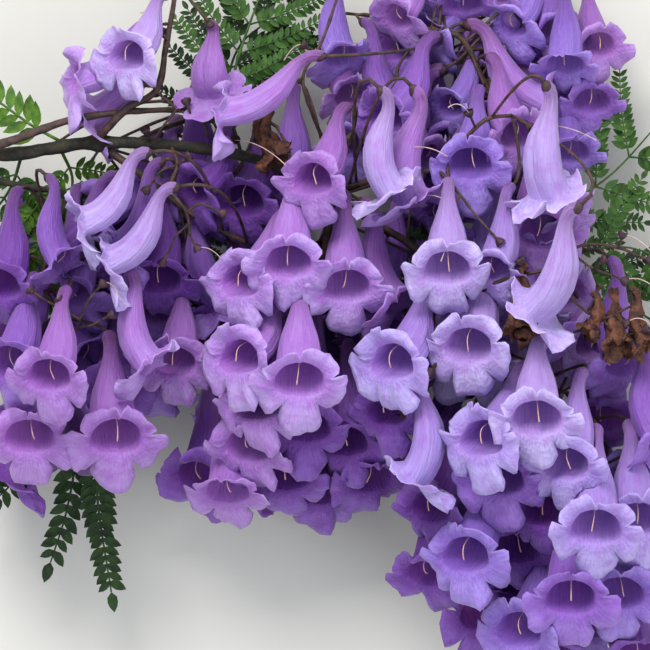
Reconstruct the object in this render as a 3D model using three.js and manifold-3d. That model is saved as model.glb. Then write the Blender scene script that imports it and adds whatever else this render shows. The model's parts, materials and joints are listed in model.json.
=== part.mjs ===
// A flowering jacaranda branch, cut from the tree and laid on its back. Lengths are in millimetres.
// X runs to the right of the reference picture, Y up it and Z towards the viewer, so the branch lies
// in the XY plane and its lowest petals rest on Z = 0.
import * as THREE from "three";
import { mergeVertices } from "three/addons/utils/BufferGeometryUtils.js";
import Module from "manifold-3d";

const wasm = await Module();
wasm.setup();
const { Manifold, Mesh } = wasm;
const { Vector3, Matrix4, CatmullRomCurve3, QuadraticBezierCurve3, MathUtils } = THREE;

// Driving dimensions
const PICTURE_MM = 240; // what the reference picture shows, from the width of an open flower
const PICTURE_PX = 650;
const CUT_RADIUS = 2.7; // the branch where it was cut
const SEAT_GAP = 0.45; // between a single flower and the stalk that carries it
const PETAL_GAP = 0.35; // between two flowers where one is trimmed by the other
const GOLDEN_ANGLE = 137.5;
const DOWN_TO_STEM = 4; // a stem that starts this near its bough's tip is joined on to it

// A stalk's radius and steps, how far it leaves a flower straight on (knee, a share of the way to its
// foot) and its sharpest bend at a step, in radians. Its foot is the best of some tries along the bough:
// the cost is its length, what it runs into within a clearance, and what it bends too much. Where the
// flower is fused on, the stalk is sunk into it.
const STALK = { radius: 0.75, foot: 1.15, steps: 3, sides: 3, knee: 0.4, bend: 0.7, sunk: 1.5 };
const STALK_SEARCH = { tries: 20, looks: 12, clearance: 1.2, hitCost: 4, bendCost: 60 };

// Flowers that a rule hangs round a stem: where the first one is, how they droop, look up and differ.
const HANGING = { first: 0.6, droop: 0.25, fall: 0.5, furtherFall: 0.5, looseFall: 0.3, nod: 0.8 };
const HANGING_SIZE = { least: 0.88, more: 0.14, reach: 8 };
const LEAST_KEPT = 0.55; // the share of a fused flower that single ones must leave of it

// Leaves: a leaflet, how leaflets stand on a rib, and how ribs stand on the midrib
const LEAFLET = { long: 9, wide: 4, thick: 0.5, widest: 0.45, sunk: 0.6 };
const LEAFLETS = { last: 0.97, tilt: 0.5, ahead: 0.62, aside: 0.78, long: 1.08, shorter: 0.35, end: 1.1, clear: 0.2 };
const MIDRIB = { radii: [0.85, 0.4], sides: 3, steps: 6, firstLeaflet: 0.25 };
const SIDE_RIB = { radii: [0.6, 0.32], sides: 3, steps: 4, firstLeaflet: 0.18, first: 0.3, ahead: 0.7, aside: 0.8 };
const RIB_FORM = { long: 1.1, shorter: 0.3, bow: 1.5, sag: 3, end: 0.25 };

// How finely bodies are told apart, merged and, where one touches itself, shaken, in millimetres
const CLOSE = { search: 1, touching: 0.01, leafSearch: 0.5, coarser: 0.03, merge: 3e-3, shake: 0.004, rounds: 12 };

// A place in the reference picture: u pixels right, v pixels down and a depth towards the viewer in mm.
const MM_PER_PX = PICTURE_MM / PICTURE_PX;
const spot = ([u, v, depth]) =>
  new Vector3((u - PICTURE_PX / 2) * MM_PER_PX, (PICTURE_PX / 2 - v) * MM_PER_PX, depth);

// The flower, in its own frame: x out of its mouth, y towards its two upper petals, z to its side.
// Its tube rises backwards from the mouth to a bent neck, and is wider than it is high.
const TUBE = [
  { x: -36, y: 14, wide: 2.5, high: 2.5 },
  { x: -17, y: 3.6, wide: 7, high: 4.8 },
  { x: -1.4, y: 0, wide: 8.6, high: 5.8 },
];
const CALYX_END = { x: -40.5, y: 12.6 };
const THROAT = { x: 0.4, wide: 7.4, high: 4.6, bottom: -20, shallow: -0.4 };
const PETALS = [
  { at: 36, reach: 13.5, forward: -1 },
  { at: 108, reach: 15.5, forward: 3 },
  { at: 180, reach: 17, forward: 7 },
  { at: 252, reach: 15.5, forward: 3 },
  { at: 324, reach: 13.5, forward: -1 },
];
const NOTCH = { reach: 9.8, forward: 1.5 };
const PETAL_SPAN = 72;
const SHOULDER = 19; // degrees from the middle of a petal to the corner of its tip

// Balls that stand for a flower while the flowers are pushed apart
const BALLS = [
  { x: -37, y: 14, r: 3 },
  { x: -30, y: 11, r: 3.6 },
  { x: -23, y: 6.6, r: 5 },
  { x: -15, y: 2.8, r: 6.2 },
  { x: -7, y: 0.6, r: 7 },
  { x: 0, y: 0, r: 8 },
];
const NECK_BALLS = 3; // the balls of its own neck, which a flower's stalk may pass
const PETAL_BALL = { r: 3.4, share: 0.76 };
const CROWDING = { rounds: 200, gap: 0.5, step: 0.35, pull: 0.012, near: 80, sway: new Vector3(0.7, 0.7, 1.3) };
const LIMB_BALL_PITCH = 3;

// Limbs: their course through [u, v, depth], and their radius from foot to tip.
const LIMBS = {
  branch_main: {
    course: [[-80, 154, 0], [-40, 154, 0], [10, 153, 0], [90, 142, 2], [190, 146, 3], [262, 160, 1], [333, 190, -2]],
    radius: [CUT_RADIUS, 1.7],
    sides: 10,
  },
  bough_upper: {
    course: [[-44, 152, 3], [0, 143, 6], [75, 118, 8], [165, 109, 6], [232, 113, 0]],
    radius: [1.7, 0.8],
  },
  bough_top: {
    course: [[96, 138, 4], [126, 108, 10], [155, 90, 8], [165, 45, 4], [173, 0, 2], [176, -28, 0]],
    radius: [1.6, 0.8],
  },
  bough_left: {
    course: [[-50, 158, -1], [-16, 176, 0], [30, 187, 0], [62, 194, -6], [52, 232, -8]],
    radius: [1.4, 1],
  },
  bough_right: {
    course: [[336, 196, -3], [375, 222, -1], [420, 252, 1], [452, 302, -4], [500, 366, -8]],
    radius: [1.6, 1.1],
  },
  bough_far_right: {
    course: [[340, 190, 0], [395, 173, 12], [437, 168, 16], [463, 141, 18], [487, 119, 18], [512, 115, 16]],
    radius: [1.3, 0.7],
  },
  bough_back: {
    course: [[296, 174, 0], [345, 140, -8], [400, 80, -15], [432, 26, -16]],
    radius: [1.6, 1.1],
  },
};

// Clusters: the stem that each has beyond its bough's tip. hang is how many flowers a rule hangs
// round it, and spread how far out they sit. Flowers that are set by hand follow.
const CLUSTERS = {
  panicle_lower: {
    on: "branch_main",
    stem: [[100, 146, 0], [122, 160, 1], [166, 194, -2], [205, 222, -4], [246, 242, -8]],
    radius: [1.5, 0.9],
    hang: 3,
    spread: 4,
    faces: "back",
  },
  panicle_left: {
    on: "bough_left",
    stem: [[52, 234, -8], [40, 285, -10], [62, 320, -13], [66, 380, -18]],
    radius: [1, 0.8],
    hang: 5,
    spread: 6,
    faces: "back",
  },
  panicle_mid: {
    on: "branch_main",
    stem: [[333, 193, -4], [326, 240, -14], [314, 310, -19], [300, 400, -21]],
    radius: [1.6, 0.9],
    hang: 5,
    spread: 6,
    faces: "back",
  },
  panicle_right: {
    on: "bough_right",
    stem: [[502, 369, -8], [545, 430, -14], [590, 490, -16], [612, 560, -18]],
    radius: [1.1, 0.8],
    hang: 6,
    spread: 6,
    faces: "back",
  },
  panicle_back: {
    on: "bough_back",
    stem: [[434, 24, -16], [462, 34, -17], [486, 78, -18], [520, 140, -18]],
    radius: [1.1, 0.8],
    hang: 12,
    spread: 5,
    faces: "round",
  },
};

// Flowers set by hand: where the middle of the mouth is, the way it faces in the picture (turn, in
// degrees from the right, anticlockwise) and how far it looks up at the viewer (nod), then its size.
const BLOOMS = {
  top_1: { at: [126, 60, 24], turn: -140, nod: 48, size: 0.86, on: "bough_top" },
  top_2: { at: [76, 84, 12], turn: -162, nod: 12, size: 0.92, on: "bough_top" },
  top_3: { at: [98, 116, -4], turn: -146, nod: -6, size: 0.98, on: "bough_top" },
  top_4: { at: [210, 96, 10], turn: -72, nod: -28, size: 0.8, on: "bough_top" },
  top_5: { at: [226, 118, 22], turn: -164, nod: -4, size: 1, on: "bough_back" },
  left_1: { at: [86, 228, 30], turn: -150, nod: 4, size: 0.88, on: "panicle_lower" },
  left_2: { at: [128, 256, 6], turn: -132, nod: -4, size: 0.86, on: "panicle_lower", fused: true },
  left_3: { at: [118, 262, 26], turn: -148, nod: -8, size: 0.9, on: "panicle_lower" },
  left_4: { at: [152, 282, 2], turn: -96, nod: 34, size: 0.95, on: "panicle_lower", fused: true },
  left_5: { at: [56, 262, 14], turn: -64, nod: 12, size: 0.78, on: "panicle_left", fused: true },
  left_6: { at: [4, 292, 24], turn: -112, nod: 36, size: 0.95, on: "panicle_left" },
  left_7: { at: [10, 362, 34], turn: -118, nod: 44, size: 0.95, on: "panicle_left" },
  left_8: { at: [46, 382, 44], turn: -110, nod: 46, size: 0.92, on: "panicle_left" },
  left_9: { at: [30, 440, 26], turn: -92, nod: 46, size: 1, on: "panicle_left" },
  left_10: { at: [120, 440, 26], turn: -80, nod: 44, size: 1.05, on: "panicle_left" },
  left_11: { at: [72, 462, 4], turn: -92, nod: 4, size: 0.8, on: "panicle_left", fused: true },
  left_12: { at: [140, 366, 22], turn: -58, nod: 6, size: 0.9, on: "panicle_left", fused: true },
  left_13: { at: [170, 366, 10], turn: -104, nod: 48, size: 0.88, on: "panicle_lower" },
  mid_1: { at: [240, 278, 28], turn: -144, nod: 46, size: 0.95, on: "panicle_mid" },
  mid_2: { at: [291, 274, 36], turn: -96, nod: 48, size: 0.95, on: "panicle_mid" },
  mid_3: { at: [342, 292, 30], turn: -86, nod: 44, size: 0.95, on: "panicle_mid" },
  mid_4: { at: [312, 184, 34], turn: -132, nod: 46, size: 0.9, on: "branch_main" },
  mid_5: { at: [390, 196, 34], turn: -68, nod: -4, size: 0.9, on: "bough_far_right" },
  mid_6: { at: [414, 200, 16], turn: -74, nod: 2, size: 1.02, on: "bough_far_right" },
  mid_7: { at: [398, 306, 16], turn: -54, nod: 8, size: 0.98, on: "panicle_mid" },
  mid_8: { at: [302, 384, 44], turn: -90, nod: 46, size: 1.02, on: "panicle_mid" },
  mid_9: { at: [390, 366, 40], turn: -138, nod: 46, size: 1.02, on: "panicle_mid" },
  mid_10: { at: [238, 362, 32], turn: -146, nod: 48, size: 0.98, on: "panicle_mid" },
  mid_11: { at: [256, 406, 22], turn: -126, nod: 50, size: 1, on: "panicle_mid" },
  mid_12: { at: [304, 432, 16], turn: -88, nod: 38, size: 1, on: "panicle_mid", fused: true },
  mid_13: { at: [252, 458, 6], turn: -110, nod: 34, size: 1, on: "panicle_mid", fused: true },
  mid_14: { at: [398, 418, 24], turn: -122, nod: 40, size: 0.92, on: "panicle_mid" },
  mid_15: { at: [346, 446, 8], turn: -96, nod: 38, size: 0.98, on: "panicle_mid", fused: true },
  mid_16: { at: [290, 478, -6], turn: -92, nod: 34, size: 1, on: "panicle_mid", fused: true },
  mid_17: { at: [200, 482, -8], turn: -112, nod: 28, size: 1, on: "panicle_mid", fused: true },
  mid_18: { at: [224, 490, 0], turn: -96, nod: 26, size: 0.9, on: "panicle_mid", fused: true },
  mid_19: { at: [322, 500, -14], turn: -84, nod: 26, size: 1, on: "panicle_mid", fused: true },
  mid_20: { at: [362, 484, -8], turn: -80, nod: 26, size: 0.95, on: "panicle_mid", fused: true },
  right_1: { at: [446, 272, 42], turn: -92, nod: 50, size: 0.95, on: "bough_far_right" },
  right_2: { at: [488, 276, 28], turn: -116, nod: 34, size: 0.85, on: "bough_far_right" },
  right_3: { at: [470, 344, 44], turn: -118, nod: 52, size: 1, on: "bough_right" },
  right_4: { at: [556, 350, 20], turn: -52, nod: 10, size: 0.95, on: "panicle_right", fused: true },
  right_5: { at: [536, 310, 42], turn: -128, nod: -22, size: 1, on: "bough_far_right" },
  right_6: { at: [402, 476, 24], turn: -114, nod: -8, size: 0.95, on: "bough_right" },
  right_7: { at: [484, 440, 48], turn: -144, nod: 50, size: 1.02, on: "bough_right" },
  right_8: { at: [533, 426, 48], turn: -92, nod: 52, size: 1, on: "bough_right" },
  right_9: { at: [500, 478, 36], turn: -104, nod: 48, size: 1, on: "panicle_right" },
  right_10: { at: [566, 474, 42], turn: -112, nod: 44, size: 0.98, on: "panicle_right" },
  right_11: { at: [592, 530, 48], turn: -92, nod: 46, size: 1.02, on: "panicle_right" },
  right_12: { at: [466, 560, 26], turn: -124, nod: 50, size: 1.02, on: "panicle_right" },
  right_13: { at: [546, 516, 26], turn: -108, nod: 42, size: 0.95, on: "panicle_right", fused: true },
  right_14: { at: [570, 602, 34], turn: -92, nod: 46, size: 1.02, on: "panicle_right" },
  right_15: { at: [617, 594, 28], turn: -88, nod: 46, size: 0.98, on: "panicle_right" },
  right_16: { at: [640, 522, 38], turn: -82, nod: 46, size: 1, on: "panicle_right" },
  right_17: { at: [512, 628, 18], turn: -128, nod: 46, size: 1.02, on: "panicle_right" },
  right_18: { at: [632, 366, 16], turn: -70, nod: 22, size: 0.98, on: "panicle_right", fused: true },
  right_19: { at: [648, 446, 22], turn: -58, nod: 20, size: 0.98, on: "panicle_right", fused: true },
  right_20: { at: [541, 196, 30], turn: -76, nod: -14, size: 0.95, on: "bough_far_right" },
  right_21: { at: [430, 518, 6], turn: -124, nod: 36, size: 0.95, on: "panicle_right", fused: true },
  right_22: { at: [522, 562, 8], turn: -92, nod: 38, size: 0.95, on: "panicle_right", fused: true },
  right_23: { at: [430, 574, -2], turn: -108, nod: 24, size: 0.95, on: "panicle_right", fused: true },
  right_24: { at: [676, 560, 20], turn: -60, nod: 36, size: 1, on: "panicle_right", fused: true },
  right_25: { at: [560, 664, 8], turn: -100, nod: 34, size: 1, on: "panicle_right", fused: true },
  right_26: { at: [634, 664, 6], turn: -76, nod: 34, size: 1, on: "panicle_right", fused: true },
  right_27: { at: [690, 480, 0], turn: -46, nod: 22, size: 1, on: "panicle_right", fused: true },
};

// Leaves: the course of the midrib, then its side ribs (pairs, their length and slant) with leaflets.
const LEAVES = {
  leaf_left: {
    course: [[66, 144, 1], [30, 124, -4], [-16, 92, -8], [-60, 70, -10]],
    leaflets: 6,
  },
  leaf_under: {
    course: [[30, 187, 0], [44, 222, -8], [74, 262, -12]],
    ribs: 2,
    rib: 26,
    leaflets: 3,
  },
  leaf_low: {
    course: [[66, 378, -18], [88, 450, -24], [96, 520, -26], [108, 596, -26]],
    leaflets: 7,
  },
  leaf_low_left: {
    course: [[64, 366, -16], [72, 450, -28], [62, 515, -30], [46, 566, -30]],
    leaflets: 4,
  },
  leaf_top: {
    course: [[226, 113, 0.5], [236, 60, -9], [256, 0, -16], [270, -40, -18]],
    ribs: 2,
    rib: 34,
    leaflets: 3,
  },
  leaf_right: {
    course: [[476, 333, -6], [560, 262, -18], [630, 246, -22], [700, 276, -22]],
    ribs: 2,
    rib: 36,
    leaflets: 3,
  },
};

const COLOURS = {
  bark: 0x4b3a2e,
  young: 0x5c3430,
  petal: 0x9a78d4,
  leaf: 0x3f6b23,
};

// Solids

// A repeatable fraction for the i-th flower, leaf or rib of a seed.
const wobble = (i, seed) => {
  const s = Math.sin(i * 12.9898 + seed * 78.233) * 43758.5453;
  return s - Math.floor(s);
};

// A closed solid through rings of equal count, with a pole at each end. Each ring runs the same way.
function loft(rings, start, end) {
  const count = rings[0].length;
  const points = [start, ...rings.flat(), end];
  const last = points.length - 1;
  const index = [];
  const at = (ring, i) => 1 + ring * count + (i % count);
  for (let i = 0; i < count; i++) {
    index.push(0, at(0, i + 1), at(0, i));
    for (let ring = 0; ring + 1 < rings.length; ring++) {
      index.push(at(ring, i), at(ring, i + 1), at(ring + 1, i));
      index.push(at(ring, i + 1), at(ring + 1, i + 1), at(ring + 1, i));
    }
    index.push(last, at(rings.length - 1, i), at(rings.length - 1, i + 1));
  }
  const vertProperties = new Float32Array(points.flatMap((p) => p.toArray()));
  const close = () => new Manifold(new Mesh({ numProp: 3, vertProperties, triVerts: new Uint32Array(index) }));
  const solid = close();
  if (solid.volume() > 0) return solid;
  for (let i = 0; i < index.length; i += 3) [index[i], index[i + 1]] = [index[i + 1], index[i]];
  return close();
}

function geometryOf(solid, shake = 0) {
  const { numProp, vertProperties, triVerts, numVert } = solid.getMesh();
  const position = new Float32Array(numVert * 3);
  for (let i = 0; i < numVert; i++) {
    for (let k = 0; k < 3; k++) {
      position[3 * i + k] = vertProperties[i * numProp + k] + shake * (2 * wobble(i, k) - 1);
    }
  }
  const geometry = new THREE.BufferGeometry();
  geometry.setAttribute("position", new THREE.BufferAttribute(position, 3));
  geometry.setIndex(new THREE.BufferAttribute(triVerts, 1));
  const merged = mergeVertices(geometry, CLOSE.merge);
  const kept = [];
  for (let i = 0; i < merged.index.count; i += 3) {
    const [a, b, c] = merged.index.array.subarray(i, i + 3);
    if (a !== b && b !== c && c !== a) kept.push(a, b, c);
  }
  merged.setIndex(kept);
  return merged;
}

const largestOf = (solid) =>
  solid.decompose().reduce((best, piece) => (piece.volume() > best.volume() ? piece : best));

// Whether two faces meet at every edge, and no more.
function isClosed(geometry) {
  const index = geometry.index.array;
  const uses = new Map();
  for (let i = 0; i < index.length; i++) {
    const next = i % 3 === 2 ? i - 2 : i + 1;
    const key = [index[i], index[next]].sort((a, b) => a - b).join();
    uses.set(key, (uses.get(key) ?? 0) + 1);
  }
  return [...uses.values()].every((count) => count === 2);
}

// One closed body with its closest corners merged. Where it touches itself along an edge, its corners
// are moved by some hundredths of a millimetre until it no longer does.
function settled(solid) {
  let body = largestOf(solid.simplify(CLOSE.coarser));
  for (let round = 0; round < CLOSE.rounds; round++) {
    const geometry = geometryOf(body, round * CLOSE.shake);
    const vertProperties = geometry.getAttribute("position").array;
    const triVerts = new Uint32Array(geometry.index.array);
    const pieces = new Manifold(new Mesh({ numProp: 3, vertProperties, triVerts })).decompose();
    if (pieces.length === 1 && isClosed(geometry)) return geometry;
    if (pieces.length > 1) body = pieces.reduce((best, next) => (next.volume() > best.volume() ? next : best));
  }
  throw new Error("a body still touches itself");
}

// A solid cut clear of the others that come near it.
const touches = (solid, other) => solid.minGap(other, CLOSE.search) < CLOSE.touching;
const cutClear = (solid, others) =>
  others.reduce((left, other) => (touches(left, other) ? left.subtract(other) : left), solid);

// A tapering tube along a curve, with flat ends that reach beyond the curve's by extend.
function tube(curve, radii, sides, steps, extend = 0) {
  const frames = curve.computeFrenetFrames(steps);
  const rings = frames.normals.map((normal, step) => {
    const centre = curve.getPointAt(step / steps);
    const radius = MathUtils.lerp(radii[0], radii[1], step / steps);
    return Array.from({ length: sides }, (_, i) => {
      const angle = (2 * Math.PI * i) / sides;
      return centre
        .clone()
        .addScaledVector(normal, radius * Math.cos(angle))
        .addScaledVector(frames.binormals[step], radius * Math.sin(angle));
    });
  });
  const ends = [curve.getPointAt(0), curve.getPointAt(1)];
  [-extend, extend].forEach((off, end) => {
    for (const p of [ends[end], ...rings.at(-end)]) p.addScaledVector(frames.tangents.at(-end), off);
  });
  return loft(rings, ...ends);
}

const curveThrough = (points) => new CatmullRomCurve3(points, false, "centripetal");

// Where a flower is, as one matrix of its axes and its mouth. Its upper petals are towards the picture's top.
function poseOf({ turn, nod, size, mouth }) {
  const [yaw, pitch] = [turn, nod].map(MathUtils.degToRad);
  const out = new Vector3(Math.cos(pitch) * Math.cos(yaw), Math.cos(pitch) * Math.sin(yaw), Math.sin(pitch));
  const up = new Vector3(0, 1, 0).addScaledVector(out, -out.y).normalize();
  const side = new Vector3().crossVectors(out, up);
  return new Matrix4().makeBasis(out, up, side).scale(new Vector3(size, size, size)).setPosition(mouth);
}

// The flower as a solid trumpet with five petals and a hollow throat. grow makes it fatter all over,
// and plain keeps only the middle line of each petal, with a shallow mouth.
function trumpet(flower, { grow = 0, plain = false } = {}) {
  const corners = PETALS.flatMap(({ at, reach, forward }) => [
    ...(plain ? [] : [{ degrees: at - PETAL_SPAN / 2, ...NOTCH }]),
    ...(plain ? [0] : [-SHOULDER, SHOULDER]).map((off) => ({ degrees: at + off, reach, forward })),
  ]);
  const ring = ({ x, y = 0, wide, high, lean = 0 }, extra) =>
    corners.map(({ degrees }) => {
      const angle = MathUtils.degToRad(degrees);
      const upward = (high + extra) * Math.cos(angle);
      return new Vector3(
        x + upward * Math.sin(lean),
        y + upward * Math.cos(lean),
        (wide + extra) * Math.sin(angle),
      );
    });
  const rim = corners.map(({ degrees, reach, forward }) => {
    const angle = MathUtils.degToRad(degrees);
    const [x, out] = [forward + (grow * forward) / (reach - THROAT.high), reach + grow];
    return new Vector3(x, out * Math.cos(angle), out * Math.sin(angle));
  });
  // Each ring of the tube leans square to the line between its neighbours, and the last stands upright.
  const rings = TUBE.map((station, i) => {
    const [from, to] = [TUBE[i - 1] ?? CALYX_END, TUBE[i + 1]];
    return ring({ ...station, lean: to ? Math.atan2(from.y - to.y, to.x - from.x) : 0 }, grow);
  });
  for (const corner of rings.at(-1)) corner.x -= grow;
  const inside = plain ? [] : [ring({ ...THROAT, x: THROAT.x + grow }, -grow)];
  const calyx = new Vector3(CALYX_END.x - grow, CALYX_END.y - grow / 2, 0);
  const depth = plain ? new Vector3(THROAT.shallow + grow, 0, 0) : new Vector3(THROAT.bottom, 4, 0);
  const rims = (grow ? [-grow, grow] : [0]).map((off) => rim.map((p) => new Vector3(p.x + off, p.y, p.z)));
  return loft([...rings, ...rims, ...inside], calyx, depth).transform(poseOf(flower).elements);
}

const calyxOf = (flower) => new Vector3(CALYX_END.x, CALYX_END.y, 0).applyMatrix4(poseOf(flower));

// The way the neck leaves for its stalk.
function stalkWayOf(flower) {
  const neck = new Vector3(TUBE[0].x, TUBE[0].y, 0).applyMatrix4(poseOf(flower));
  return calyxOf(flower).sub(neck).normalize();
}

function ballsOf(flower) {
  const pose = poseOf(flower);
  const petals = PETALS.map(({ at, reach, forward }) => {
    const angle = MathUtils.degToRad(at);
    const out = reach * PETAL_BALL.share;
    return { x: forward, y: out * Math.cos(angle), z: out * Math.sin(angle), r: PETAL_BALL.r };
  });
  return [...BALLS, ...petals].map(({ x, y, z = 0, r }) => ({
    centre: new Vector3(x, y, z).applyMatrix4(pose),
    r: r * flower.size,
  }));
}

// Pushes the flowers apart and off the limbs, as they crowd each other in a cluster.
function pushApart(flowers, fixed) {
  const home = flowers.map(({ mouth }) => mouth.clone());
  const push = (a, b, move, share) => {
    const away = a.centre.clone().sub(b.centre);
    const short = a.r + b.r + CROWDING.gap - away.length();
    if (short > 0) move.addScaledVector(away.normalize(), short * share);
  };
  for (let round = 0; round < CROWDING.rounds; round++) {
    const balls = flowers.map(ballsOf);
    const moves = flowers.map((flower, i) => {
      const move = new Vector3();
      flowers.forEach((other, j) => {
        if (i === j || flower.mouth.distanceTo(other.mouth) > CROWDING.near) return;
        for (const a of balls[i]) for (const b of balls[j]) push(a, b, move, CROWDING.step / 2);
      });
      for (const a of balls[i]) for (const b of fixed) push(a, b, move, CROWDING.step);
      return move;
    });
    flowers.forEach(({ mouth }, i) => {
      mouth.add(moves[i].multiply(CROWDING.sway).clampLength(0, 1));
      mouth.addScaledVector(home[i].clone().sub(mouth), CROWDING.pull);
    });
  }
}

// Courses of the limbs and of the clusters' stems, each stem a gap beyond its bough's tip
const curves = {};
for (const [name, { course }] of Object.entries(LIMBS)) curves[name] = curveThrough(course.map(spot));
for (const [name, { on, stem }] of Object.entries(CLUSTERS)) {
  const points = stem.map(spot);
  const host = curves[on];
  if (host.getPointAt(1).distanceTo(points[0]) < DOWN_TO_STEM) {
    points[0] = host.getPointAt(1).addScaledVector(host.getTangentAt(1), PETAL_GAP);
  }
  curves[name] = curveThrough(points);
}
const sizes = { ...LIMBS, ...CLUSTERS };
const coreOf = (name, extra = 0) => {
  const { radius, sides = 6, course, stem } = sizes[name];
  return tube(curves[name], radius.map((r) => r + extra), sides, (course ?? stem).length * 2, extra);
};
const limbBalls = Object.entries(sizes).flatMap(([name, { radius }]) => {
  const count = Math.round(curves[name].getLength() / LIMB_BALL_PITCH);
  return Array.from({ length: count + 1 }, (_, i) => ({
    centre: curves[name].getPointAt(i / count),
    r: MathUtils.lerp(radius[0], radius[1], i / count),
  }));
});

// Flowers that a rule hangs round a cluster's stem, each a golden angle on from the one before.
function hangRound(name, { hang, spread, faces }, seed) {
  return Array.from({ length: hang }, (_, i) => {
    const share = (i + HANGING.first) / hang;
    const turned = i * GOLDEN_ANGLE;
    const angle = MathUtils.degToRad(faces === "round" ? turned : 180 + (turned % 180));
    const outward = new Vector3(Math.cos(angle), -HANGING.droop, Math.sin(angle)).normalize();
    const fall = -HANGING.fall - HANGING.furtherFall * share - HANGING.looseFall * wobble(i, seed);
    const flower = {
      name: `${name}_${i}`,
      turn: MathUtils.radToDeg(Math.atan2(fall, outward.x)),
      nod: MathUtils.radToDeg(Math.asin(outward.z)) * HANGING.nod,
      size: HANGING_SIZE.least + HANGING_SIZE.more * wobble(i, seed + 1),
      on: name,
      fused: true,
      mouth: new Vector3(),
    };
    const out = spread + HANGING_SIZE.reach * wobble(i, seed + 2);
    const base = curves[name].getPointAt(share).addScaledVector(outward, out);
    flower.mouth = base.sub(calyxOf(flower));
    return flower;
  });
}

const setByHand = Object.entries(BLOOMS).map(([name, flower]) => ({ name, ...flower, mouth: spot(flower.at) }));
const hung = Object.entries(CLUSTERS).flatMap(([name, cluster], i) => hangRound(name, cluster, i + 1));
const everyFlower = [...setByHand, ...hung];
pushApart(everyFlower, limbBalls);
const singles = everyFlower.filter(({ fused }) => !fused);

// A single flower is trimmed by the limbs and by the flowers before it, where they still touch.
const grownLimbs = Object.keys(LIMBS).map((name) => coreOf(name, PETAL_GAP));
const grownSingles = [];
const solids = { limbs: {}, clusters: {}, leaves: {}, flowers: {} };
for (const flower of singles) {
  solids.flowers[`bloom_${flower.name}`] = largestOf(cutClear(trumpet(flower), [...grownLimbs, ...grownSingles]));
  grownSingles.push(trumpet(flower, { grow: PETAL_GAP }));
}

// A fused flower that single ones would cut to little more than half is left out.
const fused = everyFlower.filter((flower) => {
  if (!flower.fused) return false;
  const whole = trumpet(flower, { plain: true });
  return cutClear(whole, [...grownLimbs, ...grownSingles]).volume() / whole.volume() >= LEAST_KEPT;
});

// Stalks: from a flower's calyx back to the stretch of its bough or stem with the clearest, shortest way.
function stalkWay(flower) {
  const way = stalkWayOf(flower);
  const tip = calyxOf(flower).addScaledVector(way, flower.fused ? -STALK.sunk : SEAT_GAP);
  const balls = everyFlower.flatMap((other) => ballsOf(other).slice(other === flower ? NECK_BALLS : 0));
  const { tries, looks, clearance, hitCost, bendCost } = STALK_SEARCH;
  const ways = Array.from({ length: tries + 1 }, (_, i) => {
    const foot = curves[flower.on].getPointAt(i / tries);
    const knee = tip.clone().addScaledVector(way, STALK.knee * foot.distanceTo(tip));
    const course = new QuadraticBezierCurve3(foot, knee, tip);
    let hits = 0;
    for (let s = 2; s < looks; s++) {
      const point = course.getPointAt(s / looks);
      for (const ball of balls) hits += Math.max(0, ball.r + clearance - point.distanceTo(ball.centre));
    }
    const heads = Array.from({ length: STALK.steps + 1 }, (_, s) => course.getTangentAt(s / STALK.steps));
    const bend = Math.max(...heads.slice(1).map((next, s) => next.angleTo(heads[s])));
    return { course, cost: foot.distanceTo(tip) + hitCost * hits + bendCost * Math.max(0, bend - STALK.bend) };
  });
  return ways.reduce((best, next) => (next.cost < best.cost ? next : best)).course;
}
const stalkWays = new Map([...singles, ...fused].map((flower) => [flower, stalkWay(flower)]));
const carriedBy = (name) => [...singles, ...fused].filter(({ on }) => on === name);

// A bough or a stem with its stalks, and the flowers that are fused to it.
function growthOf(name, extra = 0) {
  const pieces = [coreOf(name, extra)];
  for (const flower of carriedBy(name)) {
    const radii = [STALK.radius * STALK.foot + extra, STALK.radius + extra];
    pieces.push(tube(stalkWays.get(flower), radii, STALK.sides, STALK.steps));
    if (flower.fused) pieces.push(trumpet(flower, { grow: extra, plain: true }));
  }
  return Manifold.union(pieces);
}

const before = [...grownSingles];
for (const name of Object.keys(LIMBS)) {
  solids.limbs[name] = largestOf(cutClear(growthOf(name), before));
  before.push(growthOf(name, PETAL_GAP));
}
for (const name of Object.keys(CLUSTERS)) {
  solids.clusters[name] = largestOf(cutClear(growthOf(name), before));
  before.push(growthOf(name, PETAL_GAP));
}

// A leaflet of eight faces: a point at each end, widest a little before its middle.
function leaflet(base, way, normal, long) {
  const across = new Vector3().crossVectors(normal, way).normalize();
  const middle = base.clone().addScaledVector(way, long * LEAFLET.widest);
  const wide = ((long / LEAFLET.long) * LEAFLET.wide) / 2;
  const ring = [
    middle.clone().addScaledVector(across, wide),
    middle.clone().addScaledVector(normal, LEAFLET.thick / 2),
    middle.clone().addScaledVector(across, -wide),
    middle.clone().addScaledVector(normal, -LEAFLET.thick / 2),
  ];
  return loft([ring], base, base.clone().addScaledVector(way, long));
}

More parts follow.
